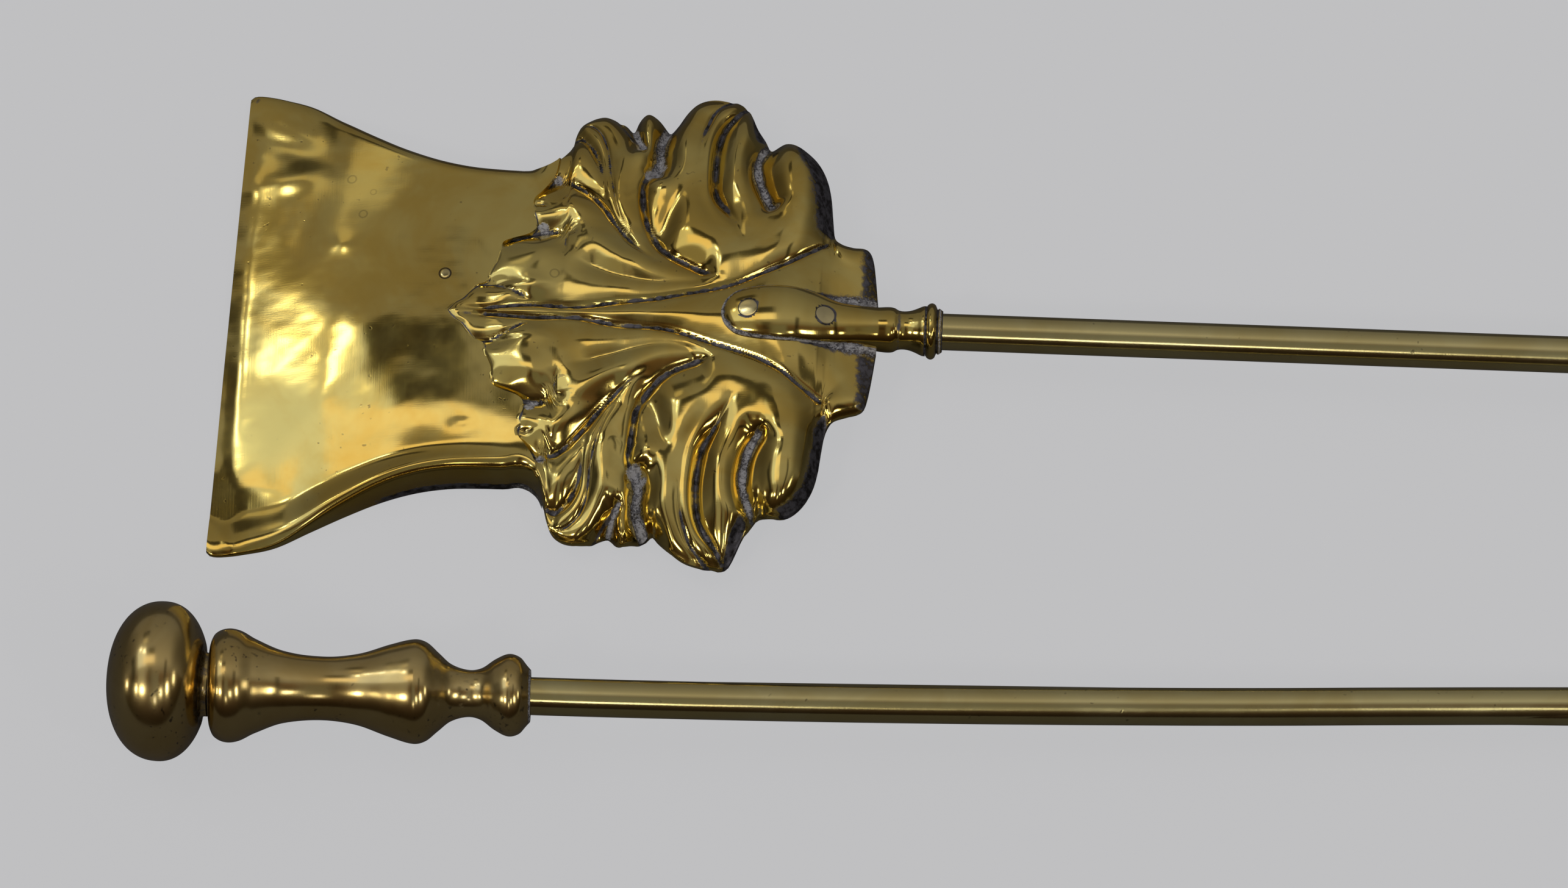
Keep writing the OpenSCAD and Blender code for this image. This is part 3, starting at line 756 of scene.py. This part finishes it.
def leaf_relief(x, a, near, outline_gap):
    """Carved height of the leaf, and its tarnish, painted shade and residue."""
    share = np.clip(a / half_width(x, near), 0, 1)
    dome = mix(curve(CREST, x), curve(RIM, x), share**2.2)
    behind = x - curve(LEAF_FRONT, a)
    on_plate = 1 - ease(46, 50, a)
    start = (1 - ease(0, 13, behind)) * (1 - ease(43, 51, a))
    height = mix(dome, np.minimum(plate_height(x, share) + LEAF_PROUD, dome + 1), start)
    pillow = (1.3 * np.exp(-np.maximum(behind, 0) / 1.8) * on_plate) ** 3
    wear = 0.85 + 0.3 * ripple(x, a, 7)
    groove, grime_and_shade, residue = np.zeros((3, *x.shape))
    for path, drop, spread, width, depth, fade_in, fade_out, dark, pale in CARVING:
        gap, where = distance(x, a, path)
        hold = np.ones_like(x)
        if fade_in:
            hold = hold * ease(0, fade_in, where)
        if fade_out:
            hold = hold * (1 - ease(1 - fade_out, 1, where) * 0.85)
        reach = PILLOW_REACH * spread
        pillow += (PILLOW_DROP * drop * hold * (1 - np.minimum(gap / reach, 1)) ** PILLOW_POWER) ** 3
        groove = np.maximum(groove, depth * hold * bell(gap / width))
        grime_and_shade = np.maximum(grime_and_shade, dark * hold * wear * bell(gap / (width * 0.85), 4))
        residue = np.maximum(residue, pale * hold * wear * bell(gap / (width * 0.8), 4))
    for path, width, rise in ROLLS:
        gap, where = distance(x, a, path)
        height = height + rise * ease(0, 0.15, where) * (1 - ease(0.7, 1, where)) * bell(gap / width)
    for bump in bumps(SWELLS, x, a):
        height = height + bump
    # the back of the rear lobe falls steeply to the outline
    back = ease(164, 172, x) * (1 - ease(180, 183, x)) * ease(24, 32, a)
    free = 1 - walls(x, near)
    pillow = pillow ** (1 / 3) + free * 2.0 * (1 - np.minimum(outline_gap / 6, 1)) ** 2.2
    roll = free * 1.5 * np.exp(-outline_gap / 0.8) + back * 4.0 * bell(outline_gap / 4.0)
    # painted shade with some tarnish: a dark band along the rear lobe's steep back, wider on the far side
    grime_and_shade = np.maximum(grime_and_shade, back * bell(outline_gap / np.where(near, 3.2, 6.2), 3) * 0.95)
    # painted shade: the tail's concave flanks beside the tongue are darkened
    tail = ease(186.5, 191, x) * (1 - ease(26, 28, a)) * ease(5, 8, a)
    grime_and_shade = np.maximum(grime_and_shade, 0.62 * tail)
    # tarnish and residue beside the tongue
    spread = 0.8 + 3.4 * ease(172, 193, x)
    beside = bell(np.maximum(a - curve(TONGUE, x), 0) / spread) * ease(166, 176, x)
    grime_and_shade = np.maximum(grime_and_shade, 0.85 * beside)
    residue = np.maximum(residue, 0.75 * beside * ease(174, 184, x))
    # painted shade: a dark line at the foot of the leaf's front step, where the leaf meets the plate
    grime_and_shade = np.maximum(grime_and_shade, 0.75 * bell(behind / 0.7) * on_plate)
    for cx, cy, r, pale in PATCHES:
        patch = bell(((x - cx) ** 2 + (a - cy) ** 2) / r**2)
        residue = np.maximum(residue, pale * patch)
        grime_and_shade = np.maximum(grime_and_shade, 0.6 * patch)
    return smooth(height - pillow - roll, SMOOTH_ROUNDS) - groove, grime_and_shade, residue


# Plug in the plate: place and radius
PLUG = (65.0, 12.3, 1.6)
# Dents and bumps of the plate: middle, half sizes, turn in degrees, height
DENTS = [
    (33.0, 23.0, 3.0, 3.0, 0, 0.22), (73.0, -36.0, 2.6, 1.6, 20, -0.25), (12.0, 46.0, 9.0, 4.0, 10, 0.45),
    (13.0, 58.0, 11.0, 4.5, -25, -0.50), (20.0, 30.0, 6.0, 12.0, 10, -0.40),
    (40.0, -4.0, 12.0, 9.0, -35, 0.35), (60.0, -16.0, 14.0, 7.0, -30, -0.25),
    (14.0, -55.0, 7.0, 4.0, 0, -0.35), (18.0, -62.0, 30.0, 34.0, 0, -2.2),
    (62.0, -52.0, 30.0, 15.0, 0, -3.0), (28.0, -30.0, 6.0, 14.0, -25, 0.30),
    (5.0, -20.0, 3.5, 22.0, 0, -0.18),
]
# Marks in the plate's lacquer and the seam round the plug: place, radius, line, strength
MARKS = [
    (*PLUG[:2], 1.75, 0.28, 0.95), (34.0, 45.5, 1.3, 0.35, 0.30), (38.5, 33.0, 1.2, 0.35, 0.30),
    (41.0, 40.5, 0.9, 0.30, 0.22), (98.0, 12.0, 1.3, 0.35, 0.30),
]
# Bent corner: a crease from one edge to the other
CREASE = [(1.0, -66.5), (5.0, -72.0), (9.5, -77.0)]


def plate_relief(x, y, share):
    height = plate_height(x, share)
    soft = 1 - ease(0.8, 0.97, share)
    battered = mix(1, 2.2, ease(12, -8, y))
    uneven = 0.09 * battered * ripple(x, y, 34) + 0.025 * ripple(x, y, 13) + 0.006 * ripple(x, y, 5)
    height = height + soft * uneven
    for bump in bumps(DENTS, x, y):
        height = height + soft * bump
    gap, _ = distance(x, y, CREASE)
    return height + 0.45 * np.exp(-gap / 1.6) * ease(-60, -64, y)


def grid_faces(rows, columns, base=0, over=False):
    """Quads of a grid of points; over turns them to face the other way."""
    i, j = np.meshgrid(np.arange(rows - 1), np.arange(columns - 1), indexing="ij")
    a = (base + i * columns + j).ravel()
    right, across, up = a + 1, a + columns + 1, a + columns
    return np.column_stack([a, up, across, right] if over else [a, right, across, up]).tolist()


def lowest_near(grid, reach):
    """The least of each height and its neighbours, which don't count beyond the grid's edge."""
    lowest = grid.copy()
    steps = range(-reach, reach + 1)
    for di in steps:
        for dj in steps:
            rolled = np.roll(np.roll(grid, di, 0), dj, 1)
            if di:
                rolled[:reach], rolled[-reach:] = grid[:reach], grid[-reach:]
            if dj:
                rolled[:, :reach], rolled[:, -reach:] = grid[:, :reach], grid[:, -reach:]
            lowest = np.minimum(lowest, rolled)
    return lowest


PAN_COLUMNS = 221


def make_pan(material):
    """The casting: an upper skin of lines across the pan, and an underside with every second point."""
    lines = np.concatenate([
        np.linspace(0, 7, 8), np.linspace(8.4, 60, 37), np.linspace(61, FRONT - 0.6, 9),
        [FRONT - 0.12, FRONT + 0.22], np.arange(FRONT + 0.7, 177.5, 0.52), np.linspace(177.7, 183, 21),
        np.linspace(183.5, 191, 15), np.linspace(191.3, TAIL_END, 14),
    ])
    if len(lines) % 2 == 0:
        lines = np.delete(lines, 12)
    half = (PAN_COLUMNS + 1) // 2
    v = np.concatenate([-np.linspace(1, 0, half)[:-1], np.linspace(0, 1, half)])
    spaced = section_shares(half)
    spaced = np.concatenate([-spaced[::-1][:-1], spaced])
    S, V = np.meshgrid(lines, v, indexing="ij")
    U = np.broadcast_to(spaced, S.shape)
    near = V < 0
    on_leaf = S > FRONT
    push = curve(LEAF_FRONT, np.abs(U) * LEAF_HALF) - FRONT
    before = (np.clip(S / FRONT, 0, 1)) ** 1.5
    after = np.clip((150 - S) / (150 - FRONT), 0, 1)
    X = S + push * np.where(on_leaf, after, before)
    W = half_width(X, near)
    share = np.where(on_leaf, mix(np.abs(U), np.abs(V), ease(FRONT, FRONT + 30, S)), np.abs(U))
    A = W * share
    Y = np.where(near, -A, A)

    corner = turn_down(X, A, W, near)
    low = plate_relief(X, Y, share)
    gap_far, _ = distance(X, A, EDGE_FAR, 16)
    gap_near, _ = distance(X, A, EDGE_NEAR, 16)
    outline_gap = np.where(near, gap_near, gap_far)
    wander_x = X + 0.35 * ripple(X, Y, 26)
    wander_a = np.abs(A + 0.35 * ripple(X, Y, 24))
    high, grime_and_shade, residue = leaf_relief(wander_x, wander_a, near, outline_gap)
    high = high + 0.03 * ripple(X, Y, 9) + 0.004 * ripple(X, Y, 4)
    # where the plate's side runs into the leaf's outer lobe
    joint = ease(42, 50, A) * (1 - ease(94, 103, X))
    Z = np.where(on_leaf, mix(high, low, joint), low)
    Z = np.maximum(Z, 0.5) * fall(corner)
    foot = ease(0.5, 0.8, corner) * (1 - ease(2.5, 5.5, Z)) * ease(38, 60, X)
    # a dark spot at the far front corner, and the foot of the walls
    grime_and_shade = np.where(on_leaf, grime_and_shade, 0.55 * bell(np.hypot(X - 2, Y - 75.3) / 1.6))
    grime_and_shade = np.maximum(grime_and_shade, 0.9 * foot)
    residue = np.where(on_leaf, residue, 0)
    residue = np.maximum(residue, 0.55 * foot * ease(80, 92, X))

    # the underside follows the top, one casting thickness below its lowest neighbour
    inside = (plate_height(X, share) - THICK) * fall(corner)
    under = np.where(on_leaf, lowest_near(Z, 2) - THICK * 0.8, np.minimum(inside, Z - 0.5))
    under = np.clip(under, 0, None)
    tuck = THICK * corner**2
    under_y = np.where(near, -(A - tuck), A - tuck)

    m, n = S.shape
    top = np.stack([X, Y, Z], -1).reshape(-1, 3)
    pick = (slice(None, None, 2), slice(None, None, 2))
    bottom = np.stack([X[pick], under_y[pick], under[pick]], -1)
    bm, bn = bottom.shape[:2]
    base = m * n
    end = base + bm * bn
    faces = grid_faces(m, n) + grid_faces(bm, bn, base, over=True)
    for fine, coarse in (
        (range(n), range(base, base + bn)),
        (range(base - n, base), range(end - bn, end)),
        (range(0, base, n), range(base, end, bn)),
        (range(n - 1, base, n), range(base + bn - 1, end, bn)),
    ):
        for k in range(len(coarse) - 1):
            f0, f1, f2 = fine[2 * k], fine[2 * k + 1], fine[2 * k + 2]
            c0, c1 = coarse[k], coarse[k + 1]
            faces.extend([(f0, f1, c0), (f1, c1, c0), (f1, f2, c1)])
    points = np.concatenate([top, bottom.reshape(-1, 3)])
    dull = np.full(bm * bn, 0.55)
    make_piece("pan_casting", points, faces, PAN, "shovel", ["shovel_pan"], material,
               np.concatenate([grime_and_shade.ravel(), dull]), np.concatenate([residue.ravel(), dull * 0]))
    return X, Y, Z


def lacquer_rings():
    """The marks' places in the world, in metres, for the brass shader."""
    rings = []
    for x, y, radius, line, strength in MARKS:
        centre = (PAN[:3, :3] @ (x, y, 0) + PAN[:3, 3]) * MM
        rings.append(((centre[0], centre[1], 0), radius * MM, line * MM, strength))
    return rings


def surface_height(grid, x, y):
    """Height of the pan's upper face near a place."""
    X, Y, Z = grid
    gap = np.hypot(X - x, Y - y)
    return float(Z.ravel()[np.argmin(gap)])


def make_plug(grid, material):
    x, y, r = PLUG
    z = surface_height(grid, x, y)
    rows = [(-1.7, 0.98), (-0.1, 0.98), (-0.02, 0.95), (0.05, 0.8), (0.08, 0.4), (0.09, 0.02 / r)]
    points, faces = turned_points([(place, r * share) for place, share in rows], segments=48)
    place = PAN @ np.array(Matrix.Translation((x, y, z)) @ Matrix.Rotation(math.radians(-6), 4, "Y"))
    radius = np.hypot(points[:, 0], points[:, 1])
    make_piece("floor_plug_disc", points, faces, place, "shovel", ["floor_plug"], material,
               0.8 * ease(r * 0.86, r * 0.98, radius))


# -------- socket, rivets and ring

TONGUE = [
    (148.5, 0.8), (149, 2.6), (150, 4.4), (153, 6.9), (159, 8.4), (166, 8.9), (172, 8.7), (178, 8),
    (183, 7), (189, 6.5), (195, 6.5),
]
TONGUE_RISE = [
    (148.5, 0.5), (150, 1.6), (153, 2.6), (158, 3.3), (166, 3.7), (178, 4.3), (187, 5), (195, 5.2),
]
NECK = [
    (-14.2, 6.6), (-11.2, 6.8), (-9.6, 6.6), (-8.2, 5.9), (-6.5, 5.7), (-4.5, 6), (-2.6, 6.7), (-1, 7.4),
    (0, 7.5),
]
RING = [(0, 7.2), (0.6, 8), (1.7, 8.4), (2.7, 7.9), (3.2, 7), (4, 6.8), (5, 6.1)]
RIVETS = {"rivet_front": 156.5, "rivet_rear": 179.5}
RIVET_R = 3.0
TUBE_R = 5.5
TUBE_WALL = 0.8
SOCKET_BORE = 5.55
NECK_AT_TAIL = 6.6


def axis_height(x):
    return NECK_Z + (x - MOUTH_X) * math.tan(RISE)


def tongue_section(x, angles):
    """Section of the socket at a place along the pan: half round on the leaf, round at the neck."""
    at = min(x, TAIL_END)
    neck = float(curve(NECK, x - MOUTH_X)) if x > TAIL_END else NECK_AT_TAIL
    join = float(ease(188, 196, x))
    up = np.sin(angles)
    middle = mix(float(curve(CREST, at)), axis_height(x), join)
    top = mix(float(curve(TONGUE_RISE, at)), neck, join)
    below = mix(2.0, neck, join)
    half = mix(float(curve(TONGUE, at)), neck, join)
    z = middle + np.where(up > 0, top, below) * up
    return np.column_stack([np.full(len(angles), x), half * np.cos(angles), z])


def make_socket(material):
    angles = circle(96)
    stations = np.concatenate([
        [148.5, 148.8, 149.2, 149.7, 150.3, 151, 152, 153, 154.5],
        np.arange(156, TAIL_END, 0.8), np.arange(TAIL_END + 0.2, 209.3, 0.3), [MOUTH_X],
    ])
    rings = [tongue_section(x, angles) for x in stations]
    for x in (209.4, 205.6):
        z = axis_height(x) + SOCKET_BORE * np.sin(angles)
        rings.append(np.column_stack([np.full(len(angles), x), SOCKET_BORE * np.cos(angles), z]))
    points, faces = rings_mesh(rings)
    x, y, z = points.T
    above = z - np.interp(x, *zip(*CREST))
    low = ease(2.2, 0.4, above)
    on_leaf = 1 - ease(186, 196, x)
    seams = np.zeros(len(points))
    for rivet_x in RIVETS.values():
        gap = np.abs(np.hypot(x - rivet_x, y) - RIVET_R - 0.1)
        seams = np.maximum(seams, 0.85 * bell(gap / 0.4) * (above > 0.5))
    grooves = 0.5 * bell((x - 201.4) / 0.9) + 0.9 * ease(208.6, 209.3, x)
    grime_and_shade = np.maximum(np.maximum(low * on_leaf, seams), grooves)
    residue = np.maximum(0.9 * low * on_leaf * ease(0.0, 0.6, low), 0.5 * ease(208.9, 209.4, x))
    make_piece("socket_casting", points, faces, PAN, "shovel", ["shovel_socket"], material,
               grime_and_shade, residue)


def make_rivet(name, x, material):
    """Rivet filed flush with the tongue, with a low spread head under the pan."""
    angles = circle(48)
    slope = float(curve(CREST, x + 2) - curve(CREST, x - 2)) / 4
    half = float(curve(TONGUE, x))
    rings = []
    for share, lift in ((1.0, -2.5), (1.0, 0.01), (0.97, 0.05), (0.8, 0.06), (0.4, 0.07), (0.02, 0.07)):
        px = x + RIVET_R * share * np.cos(angles)
        py = RIVET_R * share * np.sin(angles)
        top = curve(CREST, px) + curve(TONGUE_RISE, px) * np.sqrt(np.clip(1 - (py / half) ** 2, 0, 1))
        rings.append(np.column_stack([px, py, top + lift]))
    for share, depth in ((1.0, 1.4), (1.4, 2.0), (1.3, 2.6), (0.9, 3.0), (0.3, 3.1)):
        px = x + RIVET_R * share * np.cos(angles)
        py = RIVET_R * share * np.sin(angles)
        rings.insert(0, np.column_stack([px, py, curve(CREST, x) + slope * (px - x) - depth]))
    points, faces = rings_mesh(rings)
    radius = np.hypot(points[:, 0] - x, points[:, 1])
    grime_and_shade = 0.9 * ease(RIVET_R * 0.90, RIVET_R * 0.99, radius)
    make_piece(name + "_filed", points, faces, PAN, "shovel", [name], material,
               grime_and_shade, 0.3 * grime_and_shade)


def make_ring(material):
    at = np.linspace(0, 5, 60)
    rows = np.column_stack([at, curve(RING, at) - 0.35 * bell((at - 3.4) / 0.22)])
    points, faces = turned_points(rows, bore=TUBE_R + 0.02)
    z = points[:, 2]
    grime_and_shade = np.maximum(0.9 * bell((z - 3.5) / 0.35), 0.9 * ease(4.4, 4.9, z))
    grime_and_shade = np.maximum(grime_and_shade, 0.9 * (1 - ease(0.1, 0.5, z)))
    residue = 0.8 * bell((z - 4.2) / 0.4) + 0.5 * (1 - ease(0.1, 0.4, z))
    make_piece("socket_ring_bead", points, faces, SHAFT_FRAME, "shovel", ["socket_ring"],
               material, grime_and_shade, residue)


# -------- shafts and handles

GRIP = [
    (29.4, 9.6), (29.9, 12.6), (31.2, 15), (34.4, 16.4), (38.2, 15.9), (42.6, 13.6), (50.8, 10.4),
    (62.2, 9.2), (72.2, 10.3), (81.6, 13.4), (88.4, 15.1), (92, 14.2), (95.4, 11.3), (99, 8.3),
    (104, 6.8), (107.8, 7.5), (111.7, 10.2), (115.6, 11.9), (118.9, 11), (120.9, 8.7), (122, 7.5),
]
GRIP_START = 29.4
GRIP_END = 122.0
KNOB_R = 23.05
KNOB_FRONT = 15.5
KNOB_BACK = 13.6
KNOB_POWER = 2.2
NECK_R = 9.2
KNOB_LEAN = math.radians(2.8)


def wavy(amount, seed):
    """Slight out-of-round of a hand-finished turned piece."""
    phases = np.random.default_rng(seed).uniform(0, math.tau, 6)

    def radius_change(place, angles):
        slow = np.sin(place / 9 + phases[0]) * np.cos(angles + phases[1])
        quick = 0.5 * np.sin(place / 4 + phases[2]) * np.cos(2 * angles + phases[3])
        finer = 0.25 * np.sin(place / 1.7 + phases[4]) * np.cos(3 * angles + phases[5])
        return amount * (slow + quick + finer)

    return radius_change


def knob_rows():
    rows = []
    power = 2 / KNOB_POWER
    for angle in np.radians(np.linspace(0.6, 90, 60)):
        rows.append((KNOB_FRONT * (1 - math.cos(angle) ** power), KNOB_R * math.sin(angle) ** power))
    for angle in np.radians(np.linspace(91.5, 150, 44)):
        back = KNOB_BACK * (-math.cos(angle)) ** power
        rows.append((KNOB_FRONT + back, KNOB_R * math.sin(angle) ** power))
    # the dished back, and the neck
    rows += [(27.3, 11.3), (27.2, 10.6), (27.4, 9.9), (27.9, 9.4), (28.6, NECK_R)]
    rows.append((GRIP_START - 0.05, NECK_R))
    return rows


def lean(x, y, z):
    """The poker's knob sits a little askew on its neck."""
    c, s = math.cos(KNOB_LEAN), math.sin(KNOB_LEAN)
    return x, y * c + (z - GRIP_START) * s, GRIP_START + 0.05 + (z - GRIP_START) * c - y * s


def make_handle(tool, place, material, seed):
    points, faces = turned_points(knob_rows(), segments=128, wobble=wavy(0.03, seed))
    z = points[:, 2]
    radius = np.hypot(points[:, 0], points[:, 1])
    # painted shade: the knob's dished back and its neck are darkened
    grime_and_shade = 0.4 * (1 - ease(10.0, 14.5, radius)) * ease(20, 25, z)
    if tool == "poker":
        points = np.column_stack(lean(*points.T))
    make_piece(tool + "_knob_turned", points, faces, place, tool, [tool + "_knob"],
               material, grime_and_shade)
    at = np.concatenate([np.linspace(GRIP_START, 32, 14), np.linspace(32.4, GRIP_END, 190)])
    rows = np.column_stack([at, curve(GRIP, at)])
    points, faces = turned_points(rows, bore=TUBE_R + 0.01, segments=128, wobble=wavy(0.05, seed + 1))
    z = points[:, 2]
    inner = np.hypot(points[:, 0], points[:, 1]) < TUBE_R + 0.2
    rim = ease(GRIP_END - 1.0, GRIP_END - 0.2, z)
    start = 1 - ease(GRIP_START + 0.2, GRIP_START + 1.0, z)
    grime_and_shade = np.where(inner, 0.9, 0.9 * rim + 0.7 * start)
    # painted shade: two soft dark bands where the grip curves in towards its waist
    grime_and_shade = grime_and_shade + 0.3 * bell((z - 102.5) / 3) + 0.25 * bell((z - 96) / 2.5)
    make_piece(tool + "_grip_turned", points, faces, place, tool, [tool + "_grip"],
               material, grime_and_shade, np.where(inner, 0.0, 0.8 * rim))


def make_tube(name, node, place, start, end, body, material, seed):
    """Drawn tube with a faint brazed seam, slightly hollowed and raised along its length."""
    change = wavy(0.02, seed)

    def surface(where, angles):
        seam = -0.05 * bell((angles - math.pi) / 0.05)
        return np.minimum(change(where / 3, angles) - 0.02 + seam, 0)

    rows = [(at, TUBE_R) for at in np.linspace(start, end, 260)]
    points, faces = turned_points(rows, bore=TUBE_R - TUBE_WALL, segments=72, wobble=surface)
    z = points[:, 2]
    angles = np.arctan2(points[:, 1], points[:, 0]) % math.tau
    grime_and_shade = 0.75 * bell((z - GRIP_END - 0.4) / 0.7)
    grime_and_shade = np.maximum(grime_and_shade, 0.5 * bell((angles - math.pi) / 0.04))
    make_piece(name, points, faces, place, body, [node], material,
               grime_and_shade, 0.7 * bell((z - GRIP_END - 0.3) / 0.45))


COLLAR = [
    (0, 6.4), (1.6, 6.2), (3, 6.8), (5.5, 7.7), (8, 7.95), (10.5, 7.7), (13, 6.8), (14.4, 6.2), (16, 6.6),
]
CORE_R = 4.6
STUD_R = 4.0
POINT_R = 5.8
POINT_TIP_R = 3.0
POINT_LENGTH = 95.0
COLLAR_LENGTH = 16.0
BLOW_COUNT = 90
BLOW_DEPTH = 0.22
PIN_R = 0.8
PIN_TURN = math.radians(160)


def make_collar(start, material):
    at = np.linspace(0, COLLAR_LENGTH, 90)
    rows = np.column_stack([at + start, curve(COLLAR, at)])
    points, faces = turned_points(rows, bore=CORE_R + 0.05)
    z = points[:, 2] - start
    grime_and_shade = 0.8 * (1 - ease(0.2, 1.0, z)) + 0.8 * ease(15.2, 15.9, z)
    grime_and_shade = grime_and_shade + 0.4 * bell((z - 1.7) / 0.5) + 0.4 * bell((z - 14.3) / 0.5)
    make_piece("poker_collar_turned", points, faces, POKER, "poker", ["poker_collar"],
               material, grime_and_shade, 0.3 * grime_and_shade)


def make_core(start, material):
    """Rod inside the tube, and the hammered point beyond the collar, one forging."""
    shoulder = start + COLLAR_LENGTH
    end = shoulder + POINT_LENGTH
    rows = [(14.0, 0.5), (14.2, STUD_R), (TUBE_IN_HANDLE, STUD_R), (TUBE_IN_HANDLE + 0.1, CORE_R)]
    rows += [(z, CORE_R) for z in np.linspace(140, shoulder - 0.05, 20)]
    rows.append((shoulder, POINT_R - 0.3))
    rows.append((shoulder + 0.3, POINT_R))
    for t in np.linspace(0.01, 1, 120):
        rows.append((mix(shoulder + 0.3, end - POINT_TIP_R, t), mix(POINT_R, POINT_TIP_R, t)))
    for angle in np.radians(np.linspace(8, 89, 14)):
        rows.append((end - POINT_TIP_R + POINT_TIP_R * math.sin(angle), POINT_TIP_R * math.cos(angle)))
    blows = np.random.default_rng(3)
    marks = [
        (blows.uniform(shoulder + 3, end - 4), blows.uniform(0, math.tau), blows.uniform(2.2, 4.0))
        for _ in range(BLOW_COUNT)
    ]

    def hammered(place, angles):
        change = np.zeros(len(angles))
        if place > shoulder + 1:
            for z, turn, size in marks:
                if abs(place - z) < size * 2:
                    swing = (angles - turn + math.pi) % math.tau - math.pi
                    off = ((place - z) / size) ** 2 + (swing * 4.5 / size) ** 2
                    change -= BLOW_DEPTH * np.exp(-off)
        return change

    points, faces = turned_points(rows, segments=64, wobble=hammered)
    make_piece("poker_point_forged", points, faces, POKER, "poker", ["poker_core"], material)


def make_pin(tool, place, material):
    """End of the locking pin, in the corner between grip and tube."""
    out = np.array([math.cos(PIN_TURN), math.sin(PIN_TURN), 0.0])
    side = np.array([-math.sin(PIN_TURN), math.cos(PIN_TURN), 0.0])
    spot = np.array([out[0] * 2.4, out[1] * 2.4, GRIP_END - 0.4])
    local = matrix(spot, side, (0.0, 0.0, 1.0), out)
    rows = [(0.0, PIN_R), (2.7, PIN_R), (2.95, 0.76), (3.04, 0.55), (3.06, 0.02)]
    points, faces = turned_points(rows, segments=32)
    make_piece(tool + "_pin_end", points, faces, place @ local, tool, [tool + "_pin"], material)


# -------- making

make_camera()
make_floor()
make_room()

pan_brass = brass("pan_brass_worn", (0.83, 0.67, 0.19), (0.74, 0.52, 0.10), 0.08, rings=lacquer_rings())
plug_brass = brass("plug_brass_worn", (0.82, 0.72, 0.38), (0.74, 0.62, 0.28), 0.14)
tube_brass = brass("tube_brass_worn", (0.90, 0.80, 0.37), (0.82, 0.69, 0.28), 0.13, turned_axis=True)
handle_brass = brass(
    "handle_brass_worn", (0.87, 0.68, 0.27), (0.74, 0.54, 0.18), 0.16, turned_axis=True, spots=0.9
)
dark_iron = forged_iron("forged_iron_dark")

pan_grid = make_pan(pan_brass)
make_plug(pan_grid, plug_brass)
make_socket(pan_brass)
for rivet, rivet_x in RIVETS.items():
    make_rivet(rivet, rivet_x, plug_brass)
make_ring(pan_brass)
SHOVEL_TUBE_END = TUBE_IN_HANDLE + SHAFT_LENGTH
POKER_TUBE_END = TUBE_IN_HANDLE + ROD_LENGTH
make_tube("shovel_tube_drawn", "shovel_tube", SHOVEL_HANDLE, TUBE_IN_HANDLE, SHOVEL_TUBE_END, "shovel",
          tube_brass, 21)
make_tube("poker_tube_drawn", "poker_tube", POKER, TUBE_IN_HANDLE, POKER_TUBE_END, "poker", tube_brass, 22)
make_handle("shovel", SHOVEL_HANDLE, handle_brass, 31)
make_handle("poker", POKER, handle_brass, 41)
make_pin("shovel", SHOVEL_HANDLE, dark_iron)
make_pin("poker", POKER, dark_iron)
make_collar(POKER_TUBE_END, handle_brass)
make_core(POKER_TUBE_END, dark_iron)
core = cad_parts["shovel_core"]
core.data.materials.clear()
core.data.materials.append(dark_iron)
